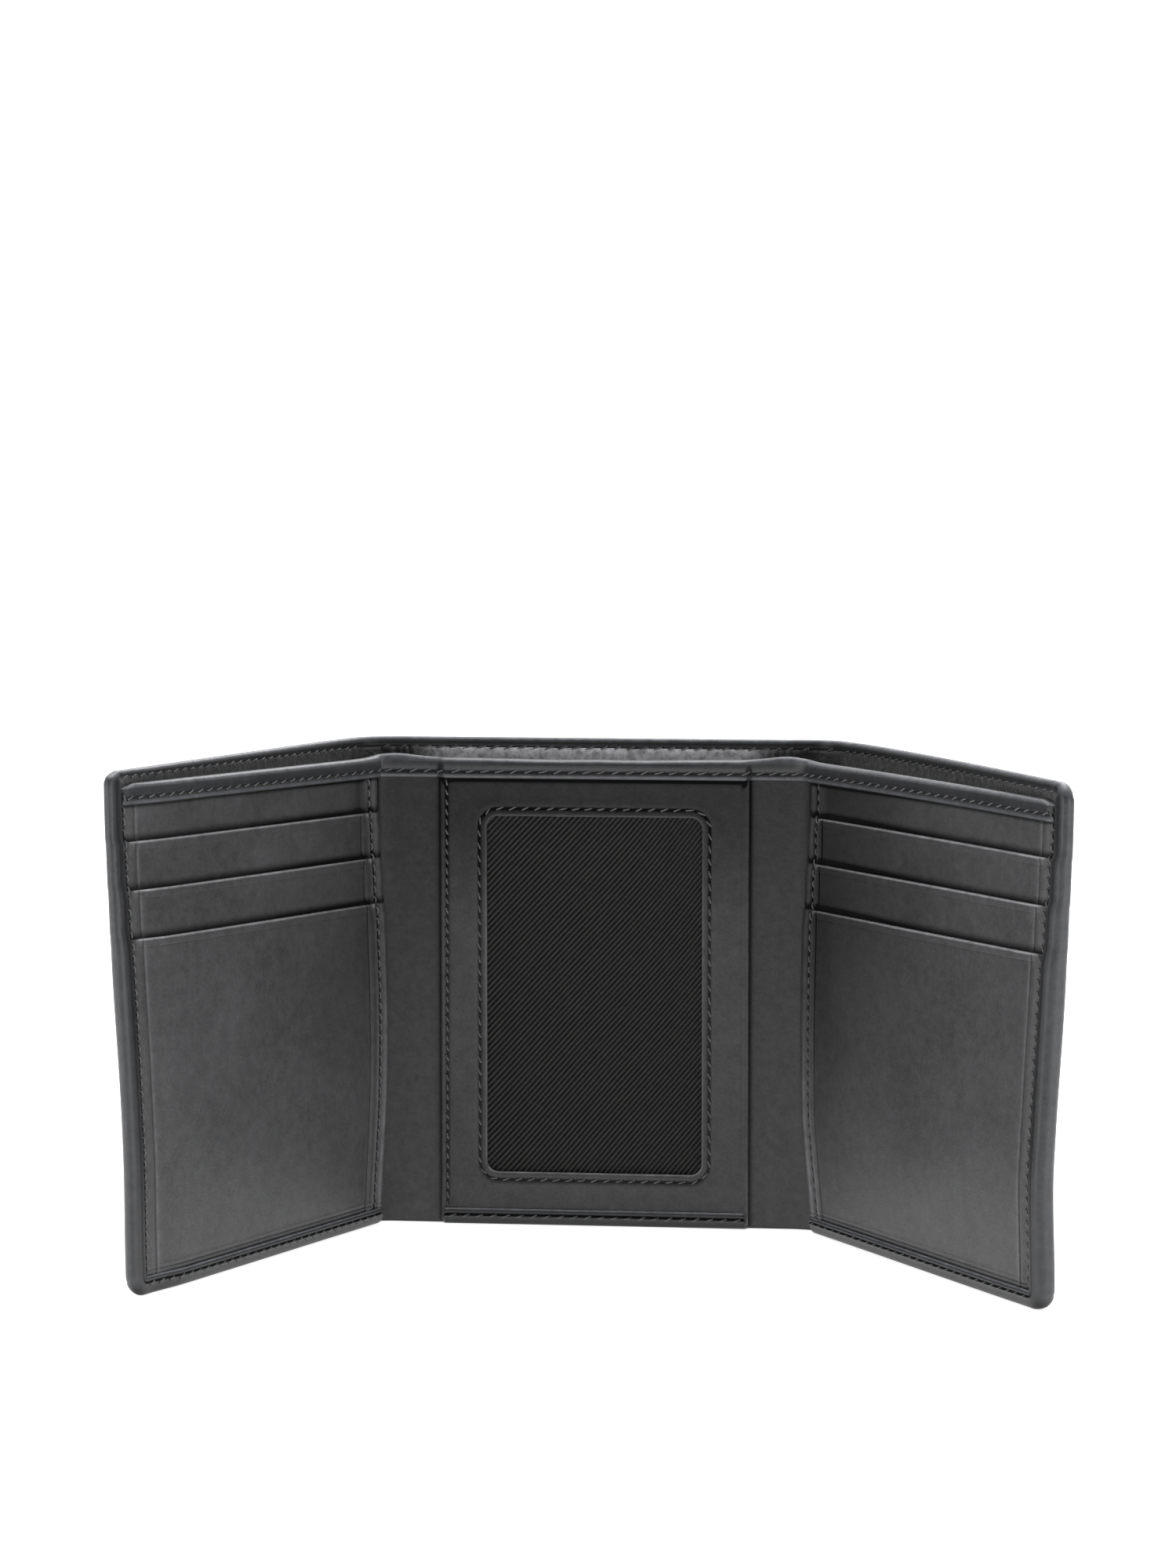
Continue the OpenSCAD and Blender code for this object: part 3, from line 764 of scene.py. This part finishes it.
def makeBinding(side):
    plan, tall, low = plans[side], size["innerH"], size["bindingZ"]
    last = plan["endQ"] - binding["tuck"]
    qs = gridLines(0, last, 1.3, (size["frameHalf"], 2.0, 0.25), (plan["wingQ"] + 0.3, 2.0, 0.25),
                   (last - 1, 1.0, 0.25))

    def profile(q):
        tucked = float(smooth(last - 2.0, last, q))
        front = float(bindingFront(plan, q)) + 0.45 * tucked
        back = binding["back"] - 0.9 * tucked
        seam, sway = tall - binding["seamZ"], float(swell(q, 0, 33, 26, 0.10))
        rise = 0.8 * float(bell(q, plan["crease"] + 1, 6.5)) - 0.25 * float(bell(q, 8, 12))
        crown = tall + rise - 0.8 * float(smooth(last - 4, last, q)) - 0.75
        middle, half = (front + back) / 2, (back - front) / 2
        outer = [(front + 0.42, low), (front + 0.12, low + 0.05), (front - 0.04, low + 0.35),
                 (front - 0.08, low + 0.9), (front + 0.22, seam), (front - 0.04, seam + 0.45),
                 (front - 0.14 - sway, seam + 1.1), (front - 0.08, seam + 1.8)]
        turns = np.radians([12, 32, 55, 80, 105, 130, 155, 172])
        over = [(middle - half * math.cos(a), crown + 0.75 * math.sin(a)) for a in turns]
        under, foot, inside = tall - 0.6 - 1.3 * tucked, tall - binding["backTall"], front + binding["thick"]
        inner = [(back, tall - 2.2), (back, foot), (back - 0.15, foot), (back - 0.2, under),
                 (inside, under), (inside, low + 0.1)]
        return outer + over + inner

    # one value for each point of the profile: outer face, over the top, inside; painted shade at the lower edge
    # and in the stitch valley, painted highlight over the top
    wearAndPaintedLight = [-1.2, -0.4, 0.5, 0.2, -0.9, 0, 0, 0] + [0.5, 1.0, 0.6, 0.3, 0.2, 0.1, 0.1, 0] + [0] * 6
    piece = sweep(side + "TopBinding", plan, qs, profile, shellLeather, np.array(wearAndPaintedLight) * 0.8)
    centre = ["centre_top_binding"] if side == "left" else []
    settle(piece, [side + "_top_binding", side + "_fold_binding"] + centre, plan=plan)


def makeLining(side):
    plan, tall = plans[side], size["shellH"]
    qs = gridLines(0, plan["endQ"] - 4.0, 0.9, (plan["crease"] - 1, 10, 0.3))
    zs = gridLines(1.2, tall - 2.2, 3.0, (tall - 6, 4, 0.5))

    def surface(q, z):
        loose = smooth(6, 30, z) * smooth(0, 10, billWidth(plan, q, z) * 4)
        onWing = smooth(plan["crease"], plan["wingQ"] + 6, q)
        rumple = (swell(q, z, 7, 9, 0.16) + swell(q, z, 8, 4.0, 0.08)) * (1 - 0.9 * onWing)
        pleat = 0.30 * np.sin(q * 3.6 + 0.5 * np.sin(q) + 0.10 * z) * bell(q, plan["crease"] - 1, 5)
        return shellOut(plan, q, z) - 1.45 - loose * (0.18 + rumple + pleat)

    # painted sheen on the lining in the middle, fading out before the folds
    gleam = lambda q, z: 1 - smooth(plan["crease"] - 12, plan["crease"] - 1, q)
    back = lambda q, z: shellOut(plan, q, z) - 1.08
    piece = slab(side + "Lining", plan, qs, zs, surface, back, liningCloth, gleam)
    centre = ["centre_lining"] if side == "left" else []
    settle(piece, [side + "_lining", side + "_fold_lining"] + centre, plan=plan)


# The window: frame, film, twill

threadBox, threadOut = nodeBox("id_window_thread"), 1.95      # the row's outer edge, from the window's
window = {
    "half": threadBox[1][0] - threadOut,
    "low": threadBox[0][2] + threadOut,
    "high": threadBox[1][2] - threadOut,
    "radius": 2.5,
    "seam": 1.7,
    "sideSeam": 1.4,
}


# A rounded rectangle: points, outward directions and each corner point's share of its arc
def windowPath(step):
    r, half, low, high = window["radius"], window["half"], window["low"], window["high"]
    down = gridLines(low + r, high - r, step)
    over = gridLines(-half + r, half - r, step)
    arc = np.radians(np.linspace(0, 90, 13)[1:-1])
    rows = [(half, z, 1, 0, 0, 0) for z in down]
    corners = [(half - r, high - r), (-half + r, high - r), (-half + r, low + r), (half - r, low + r)]
    straights = [[(x, high, 0, 1, 0, 0) for x in over[::-1]], [(-half, z, -1, 0, 0, 0) for z in down[::-1]],
                 [(x, low, 0, -1, 0, 0) for x in over], []]
    for number, (cx, cz) in enumerate(corners):
        for a in arc:
            turn = a + math.radians(90 * number)
            c, s = math.cos(turn), math.sin(turn)
            rows.append((cx + r * c, cz + r * s, c, s, number + 1, a / (math.pi / 2)))
        rows += straights[number]
    return np.array(rows)


# Where the frame's outer edge lies for each point of the window's path. The points of one
# rounded window corner spread over the square corner of the frame.
def frameEdge(path, low, high):
    x, z, nx, nz, corner, share = path.T
    half, cut = size["frameHalf"], window["radius"]
    squares = []
    for sx, sz in ((1, 1), (-1, 1), (-1, -1), (1, -1)):
        edgeZ, windowZ = (high, window["high"]) if sz > 0 else (low, window["low"])
        beside, across = (sx * half, windowZ - sz * cut), (sx * (window["half"] - cut), edgeZ)
        first, last = (beside, across) if sx * sz > 0 else (across, beside)
        squares.append(np.array([first, (sx * half, edgeZ), last]))
    outer = np.stack([np.where(nx > 0.5, half, np.where(nx < -0.5, -half, x)),
                      np.where(nz > 0.5, high, np.where(nz < -0.5, low, z))], axis=1)
    for k in np.nonzero(corner)[0]:
        square = squares[int(corner[k]) - 1]
        outer[k] = [np.interp(share[k], (0, 0.5, 1), square[:, axis]) for axis in (0, 1)]
    return outer


def makeFrame():
    path = windowPath(1.0)
    x, z, nx, nz = path.T[:4]
    half, back, behind = size["frameHalf"], -0.75, -0.14      # behind: foot of the frame's outer edge
    outer = frameEdge(path, 1.0, size["bindingZ"] + 0.6)

    def faceOff(x, z, fromWindow):
        fromLeft, fromRight = x + half, half - x
        relief = edgeDrop(fromWindow, 0.35) + 0.26 * bell(fromWindow, window["seam"], 0.4)
        relief = relief - 0.10 * bell(fromWindow, 0.7, 0.5) - 0.10 * bell(fromWindow, 2.8, 0.8)
        relief = relief + edgeDrop(fromLeft, 0.4) + 0.28 * bell(fromLeft, window["sideSeam"], 0.42)
        relief = relief - 0.12 * bell(fromLeft, 6.0, 2.5) * smooth(0, 3, fromWindow)
        relief = relief + edgeDrop(fromRight, 0.4) + 0.10 * bell(fromRight, 1.3, 0.16)
        relief = relief - 0.18 * smooth(7, 0, fromRight)
        return relief + swell(x, z, 3, 22, 0.06) - size["frameT"]

    near = np.array([0, 0.06, 0.14, 0.24, 0.35, 0.6, 0.9, 1.15, 1.35, 1.55, 1.75, 1.95, 2.15, 2.4, 2.8, 3.3])
    rings = [(x + nx * d, z + nz * d, faceOff(x + nx * d, z + nz * d, d)) for d in near]
    startX, startZ = x + nx * near[-1], z + nz * near[-1]
    for t in (0.16, 0.32, 0.46, 0.58, 0.66, 0.72, 0.77, 0.81, 0.85, 0.89, 0.92, 0.95, 0.975, 0.99, 1.0):
        px, pz = startX + (outer[:, 0] - startX) * t, startZ + (outer[:, 1] - startZ) * t
        rings.append((px, pz, faceOff(px, pz, near[-1] + 6 * t)))
    insideX, insideZ = startX + (px - startX) * 0.94, startZ + (pz - startZ) * 0.94
    rings += [(px, pz, 0 * px + behind), (insideX, insideZ, 0 * px + behind),
              (insideX, insideZ, 0 * px + back), (x, z, 0 * x + back)]
    verts = np.concatenate([np.stack([px, off, pz], axis=1) * mm for px, pz, off in rings])
    # painted highlight along the window's edge, brightest along its lower lip, and painted shade in the stitch
    # groove round it
    lowLip = np.where(nz < -0.5, 1.5, 0.7)
    wornAndPaintedLight = [lowLip * bell(d, 0.1, 0.2) - 0.75 * bell(d, window["seam"], 0.3) for d in near]
    for px, pz, off in rings[len(near):]:
        # painted shade in the side seam and under the binding, and a painted highlight along the right edge
        dark = 0.75 * bell(px + half, window["sideSeam"], 0.3) + bell(pz, size["bindingZ"] - 0.1, 0.6)
        wornAndPaintedLight.append(0.5 * bell(half - px, 0.1, 0.25) - dark)
    heights = np.concatenate([pz for px, pz, off in rings])
    # the whole frame a little darker in tone, and painted shade darker towards the top
    wornAndPaintedLight = np.concatenate(wornAndPaintedLight) - 0.22 - 0.45 * smooth(62, 94, heights)
    faces = tubeFaces(len(rings), len(x), loop=True)
    piece = tidyMesh("windowFrame", verts, faces, pocketLeather, {"wearAndPaintedLight": wornAndPaintedLight}, sharp=50)
    settle(piece, ["id_frame"], "centre")


twill = {"step": 0.27, "rib": 1.3, "yarn": 0.9, "deep": 0.21, "front": -0.22, "back": -0.08}


def makeTwill():
    low, high = nodeBox("id_backing")
    x, z = np.meshgrid(np.arange(low[0], high[0], twill["step"]), np.arange(low[2], high[2], twill["step"]))
    rows, columns = x.shape
    far = rows * columns
    lean = x - 0.95 * z + 0.0045 * (x + 20) ** 2 * 0.5 + 0.5 * np.sin(z / 19) + 0.35 * np.sin(x / 9 + z / 23)
    ribs = 0.5 + 0.5 * np.sin(lean * 2 * math.pi / twill["rib"])
    yarns = 0.5 + 0.5 * np.sin((x * 0.9 + z) * 2 * math.pi / twill["yarn"])
    rise = ribs ** 1.2 * (0.92 + 0.08 * yarns)
    offs = (twill["front"] - twill["deep"] * rise, 0 * x + twill["back"])
    layers = [np.stack([x, off, z], axis=-1) for off in offs]
    verts = np.concatenate([layer.reshape(-1, 3) for layer in layers]) * mm
    border, sides = borderFaces(rows, columns)
    faces = gridFaces(rows, columns) + sides + [(border + far).tolist()]
    used = np.arange(2 * far) < far                            # the flat back needs only its border
    used[border + far] = True
    renumber = np.cumsum(used) - 1
    faces = [[int(renumber[v]) for v in face] for face in faces]
    rib = np.concatenate([rise.ravel(), np.zeros(far)])[used]
    piece = tidyMesh("twillBacking", verts[used], faces, twillCloth, {"rib": rib})
    settle(piece, ["id_backing"], "centre")


# Two CAD nodes keep their shape and get a finish
def dressNodes():
    for name, finish in {"id_window_film": filmFinish, "centre_base": stripLeather}.items():
        mesh = frame["nodes"][name].data
        mesh.materials.clear()
        mesh.materials.append(finish)


# Stitches

def stitchTree():
    tree = bpy.data.node_groups.new("stitchRow", "GeometryNodeTree")
    kinds = {"Geometry": "Geometry", "Length": "Float", "Thickness": "Float", "Slant": "Float",
             "Wobble": "Float", "Seed": "Int", "Thread": "Material", "HoleShade": "Material"}
    for label, kind in kinds.items():
        tree.interface.new_socket(label, in_out="INPUT", socket_type="NodeSocket" + kind)
    tree.interface.new_socket("Geometry", in_out="OUTPUT", socket_type="NodeSocketGeometry")
    given = node(tree, "NodeGroupInput").outputs
    long, thick = given["Length"], given["Thickness"]

    def times(value, factor):
        return mathNode(tree, "MULTIPLY", value, factor)

    def vector(x=0.0, y=0.0, z=0.0):
        return node(tree, "ShaderNodeCombineXYZ", X=x, Y=y, Z=z).outputs[0]

    def named(label):
        read = node(tree, "GeometryNodeInputNamedAttribute", data_type="FLOAT_VECTOR", Name=label)
        return read.outputs["Attribute"]

    # one stitch: a thread that rises out of a needle hole, lies over and dips into the next
    arch = node(tree, "GeometryNodeCurveQuadraticBezier", Resolution=6, Middle=vector(z=thick),
                Start=vector(times(long, -0.5), z=times(thick, -0.75)),
                End=vector(times(long, 0.5), z=times(thick, -0.75)))
    ring = node(tree, "GeometryNodeCurvePrimitiveCircle", Resolution=6, Radius=times(thick, 0.5))
    strand = node(tree, "GeometryNodeCurveToMesh", **{
        "Curve": arch.outputs["Curve"], "Profile Curve": ring.outputs["Curve"], "Fill Caps": True})
    # the needle hole beside it, as a small dimple painted near black for the shade inside the hole
    dot = node(tree, "GeometryNodeMeshUVSphere", Segments=8, Rings=5, Radius=1.0)
    dimple = node(tree, "GeometryNodeTransform", Geometry=dot.outputs["Mesh"],
                  Translation=vector(times(long, 0.56)),
                  Scale=vector(times(thick, 0.5), times(thick, 0.42), times(thick, 0.2)))
    both = node(tree, "GeometryNodeJoinGeometry")
    for mesh, finish in ((strand.outputs["Mesh"], "Thread"), (dimple.outputs["Geometry"], "HoleShade")):
        painted = node(tree, "GeometryNodeSetMaterial", Geometry=mesh, Material=given[finish])
        tree.links.new(painted.outputs["Geometry"], both.inputs["Geometry"])

    # turned to the row's direction and the leather's face, and slanted a little unevenly
    axes = node(tree, "FunctionNodeAxesToRotation", primary_axis="Z", secondary_axis="X", **{
        "Primary Axis": named("up"), "Secondary Axis": named("along")})
    chance = node(tree, "FunctionNodeRandomValue", data_type="FLOAT", Seed=given["Seed"])
    chance.inputs[2].default_value = -1.0
    chance.inputs[3].default_value = 1.0
    sway = mathNode(tree, "MULTIPLY_ADD", chance.outputs[1], given["Wobble"], given["Slant"])
    turn = node(tree, "FunctionNodeEulerToRotation")
    tree.links.new(vector(z=sway), turn.inputs[0])
    turned = node(tree, "FunctionNodeRotateRotation", rotation_space="LOCAL", **{
        "Rotation": axes.outputs["Rotation"], "Rotate By": turn.outputs[0]})
    spread = node(tree, "GeometryNodeInstanceOnPoints", Points=given["Geometry"],
                  Instance=both.outputs["Geometry"], Rotation=turned.outputs["Rotation"])
    real = node(tree, "GeometryNodeRealizeInstances", Geometry=spread.outputs["Instances"])
    node(tree, "NodeGroupOutput", Geometry=real.outputs["Geometry"])
    return tree


stitch = {
    "length": 0.68,          # share of the pitch that the thread covers
    "thickness": 0.37,
    "slant": 18.0,           # degrees
    "topSlant": 20.0,        # along the top binding and round the window
    "wobble": 7.0,
    "proud": 0.04,           # how far a row on the binding or the back stands out
    "edgePitch": 2.35,       # spacing along a wing's outer end and inner edge
    "longPitch": 3.0,
    "topPitch": 3.2,
    "backPitch": 2.7,
    "windowPitch": 2.8,
    "sidePitch": 2.2,
}
sewing = stitchTree()


# A row of stitches through points on the leather; ups are the directions its face looks in
def stitchRow(name, points, ups, pitch, seed, nodes, body=None, plan=None, slant=stitch["slant"]):
    along = np.gradient(points, axis=0)
    along /= np.linalg.norm(along, axis=1)[:, None]
    mesh = bpy.data.meshes.new(name)
    mesh.from_pydata(points.tolist(), [], [])
    for key, values in (("along", along), ("up", ups)):
        layer = mesh.attributes.new(key, "FLOAT_VECTOR", "POINT")
        layer.data.foreach_set("vector", values.astype(np.float32).ravel())
    piece = bpy.data.objects.new(name, mesh)
    bpy.context.scene.collection.objects.link(piece)
    modifier = piece.modifiers.new("stitches", "NODES")
    modifier.node_group = sewing
    sockets = {item.name: item.identifier for item in sewing.interface.items_tree if item.in_out == "INPUT"}
    values = {"Length": pitch * stitch["length"] * mm, "Thickness": stitch["thickness"] * mm,
              "Slant": math.radians(slant), "Wobble": math.radians(stitch["wobble"]),
              "Seed": seed, "Thread": threadFinish, "HoleShade": holeShadeFinish}
    for label, value in values.items():
        modifier[sockets[label]] = value
    ready = piece.evaluated_get(bpy.context.evaluated_depsgraph_get())
    plain = bpy.data.meshes.new_from_object(ready)
    piece.modifiers.remove(modifier)
    piece.data = plain
    piece.data.name = name
    settle(piece, nodes, body, plan)


def rowOnPlan(plan, q, z, off, facing):
    points = place(plan, q, z, off)
    ups = place(plan, q, z, np.asarray(off) + facing) - points
    return points, ups / np.linalg.norm(ups, axis=1)[:, None]


def steps(start, end, pitch):
    count = int(round(abs(end - start) / pitch))
    return np.linspace(start, end, count + 1)


def rowUp(q, low, high, pitch):
    z = steps(low, high, pitch)
    return np.full(len(z), q), z


def rowAlong(z, start, end, pitch):
    q = steps(start, end, pitch)
    return q, np.full(len(q), z)


def sewWing(side, seed):
    plan, tall, innerTall, bindingZ = plans[side], size["shellH"], size["innerH"], size["bindingZ"]
    wingQ, endQ, near = plan["wingQ"], plan["endQ"], plan["endQ"] - 6.0
    hemT, proud = size["hemT"], stitch["proud"]
    edge, long, top, back = (stitch[key + "Pitch"] for key in ("edge", "long", "top", "back"))
    # in the valley beside the roll, on the pockets, on the hem, on the binding, on the rim, on the back
    inValley = lambda q, z: stackFront(z) - hemT + 0.6 - 0.4 * smooth(bindingZ - 1, bindingZ, z)
    onPockets = lambda q, z: stackFront(z) + 0.14
    onHem = lambda q, z: stackFront(0) - hemT + 0.02
    onBinding = lambda q, z: bindingFront(plan, q) + proud
    onRim = lambda q, z: shellOut(plan, q, z) - hide["rimT"] + 0.1
    onBack = lambda q, z: shellOut(plan, q, z) + proud
    sewn = endQ - size["outerSeam"]
    rows = (("Outer", "outer", rowUp(sewn, 5.5, innerTall - 3.0, edge), edge, inValley),
            ("Inner", "inner", rowUp(wingQ + size["innerSeam"], 4.6, bindingZ - 0.8, edge), edge, onPockets),
            ("Lower", "bottom", rowAlong(2.5, wingQ + 2.0, near, long), long, onHem),
            ("Top", "top", rowAlong(innerTall - binding["seamZ"], 1.6, endQ - 6.6, top), top + 0.1, onBinding),
            ("Rim", "rim", rowAlong(tall - hide["rimTall"] + 0.35, 1.5, near, long), long, onRim),
            ("BackRim", "", rowAlong(tall - 2.6, 1.5, near, long), long, onBack),
            ("BackOuter", "", rowUp(sewn, 5.5, tall - 6.0, back), back, onBack),
            ("BackLower", "", rowAlong(3.0, wingQ + 7.0, near, long), long, onBack))
    for number, (label, thread, (q, z), pitch, offAt) in enumerate(rows):
        points, ups = rowOnPlan(plan, q, z, offAt(q, z), 1 if label.startswith("Back") else -1)
        nodes = ["%s_%s_thread" % (side, thread)] if thread else []
        bends = label in ("Top", "Rim", "BackRim")             # from the middle of the wallet, over the fold
        if bends and thread and side == "left":
            nodes.append("centre_%s_thread" % thread)
        stitchRow(side + label + "Stitches", points, ups, pitch, seed + number, nodes,
                  None if bends else plan["body"], plan if bends else None,
                  stitch["topSlant"] if label == "Top" else stitch["slant"])


def sewCentre():
    half, onFrame = size["frameHalf"], -size["frameT"] + 0.26 - 0.16
    x, z, nx, nz = windowPath(0.4).T[:4]
    line = np.stack([x + nx * window["seam"], z + nz * window["seam"]], axis=1)
    line = np.concatenate([line, line[:1]])
    run = np.concatenate([[0], np.cumsum(np.linalg.norm(np.diff(line, axis=0), axis=1))])
    marks = steps(0, run[-1], stitch["windowPitch"])[:-1]
    aroundX, aroundZ = np.interp(marks, run, line[:, 0]), np.interp(marks, run, line[:, 1])
    sideX, sideZ = rowUp(-half + window["sideSeam"], 4.4, size["bindingZ"] - 1.0, stitch["sidePitch"])
    lowX, lowZ = rowAlong(2.1, -half + 2.5, half - 2.5, stitch["longPitch"])
    onHem = -size["frameT"] - size["hemT"] - 0.02
    rows = (("windowStitches", aroundX, onFrame, aroundZ, "windowPitch", "id_window_thread", "topSlant"),
            ("frameSideStitches", sideX, onFrame, sideZ, "sidePitch", "id_side_thread", "slant"),
            ("centreLowerStitches", lowX, onHem, lowZ, "longPitch", "centre_bottom_thread", "slant"))
    for number, (name, x, front, z, pitch, thread, slant) in enumerate(rows):
        points = np.stack([x, np.full(len(x), front), z], axis=1) * mm
        ups = np.tile([0.0, -1.0, 0.0], (len(x), 1))
        stitchRow(name, points, ups, stitch[pitch], 71 + number, [thread], "centre", slant=stitch[slant])


# Camera, light and floor

view = {
    "turn": 6.26, "rise": 5.46,          # degrees
    "distance": 0.989, "aim": (0.0007, -0.020, 0.1003),
    "lens": 105.462, "sensor": 36.0,     # millimetres
}
lamps = {                                # place, size and power
    "key": ((-0.9, -0.7, 0.16), 0.5, 2.6),
    "fill": ((0.95, -0.6, 0.16), 0.5, 2.6),
    "top": ((0.0, 0.22, 1.0), 1.0, 8.0),
    "back": ((0.1, 0.55, 0.62), 0.4, 1.6),
}


def makeCamera():
    turn, rise = math.radians(view["turn"]), math.radians(view["rise"])
    back = Vector((math.sin(turn) * math.cos(rise), -math.cos(turn) * math.cos(rise), math.sin(rise)))
    camera = bpy.data.cameras.new("camera")
    camera.sensor_fit = "VERTICAL"
    camera.sensor_height, camera.lens = view["sensor"], view["lens"]
    camera.clip_start, camera.clip_end = 0.01, 20.0
    holder = bpy.data.objects.new("camera", camera)
    holder.location = Vector(view["aim"]) + back * view["distance"]
    holder.rotation_euler = back.to_track_quat("Z", "Y").to_euler()
    bpy.context.scene.collection.objects.link(holder)
    bpy.context.scene.camera = holder


def makeFloor(reach=3.0):
    mesh = bpy.data.meshes.new("floor")
    corners = [(-reach, -reach, 0), (reach, -reach, 0), (reach, reach, 0), (-reach, reach, 0)]
    mesh.from_pydata(corners, [], [(0, 1, 2, 3)])
    floor = bpy.data.objects.new("floor", mesh)
    bpy.context.scene.collection.objects.link(floor)
    material, tree, shader, vector = newMaterial("pale_floor")
    feed(tree, shader, {
        "Base Color": ramp(tree, noiseAt(tree, vector, 3.0), (0.3, grey(0.86)), (0.7, grey(0.88))),
        "Roughness": 0.9, "Emission Color": (1, 1, 1, 1), "Emission Strength": 0.88})
    mesh.materials.append(material)


# A bright backdrop behind the wallet, a dimmer room in front of it, and soft lamps
def makeLight():
    world = bpy.data.worlds.new("studio")
    bpy.context.scene.world = world
    world.use_nodes = True
    tree = world.node_tree
    heading = node(tree, "ShaderNodeTexCoord").outputs["Generated"]
    depth = node(tree, "ShaderNodeSeparateXYZ", Vector=heading).outputs["Y"]
    room = ramp(tree, mathNode(tree, "MULTIPLY_ADD", depth, 0.5, 0.5), (0.02, grey(0.02)), (0.26, grey(0.26)),
                (0.60, grey(0.44)), (0.90, grey(0.60)), (0.96, grey(1.0)))
    feed(tree, tree.nodes["Background"], {"Color": room, "Strength": 1.05})
    bpy.context.scene.view_settings.view_transform = "Standard"
    for name, (spot, wide, power) in lamps.items():
        light = bpy.data.lights.new(name, "AREA")
        light.size, light.energy = wide, power
        lamp = bpy.data.objects.new(name, light)
        lamp.location = spot
        lamp.rotation_euler = (Vector(spot) - Vector((0, -0.02, 0.05))).to_track_quat("Z", "Y").to_euler()
        bpy.context.scene.collection.objects.link(lamp)


makeCamera()
makeFloor()
makeLight()
print("stage set")
for side in plans:
    makeHide(side)
    makeLining(side)
    makeBase(side)
    makeFacing(side)
    for level, row in enumerate(("rear", "middle", "front")):
        makePocket(side, level, row)
    makeStrip(side)
    makeBinding(side)
    print(side, "wing made")
makeFrame()
makeTwill()
dressNodes()
print("centre made")
sewWing("left", 100)
sewWing("right", 200)
sewCentre()
print("stitches sewn")
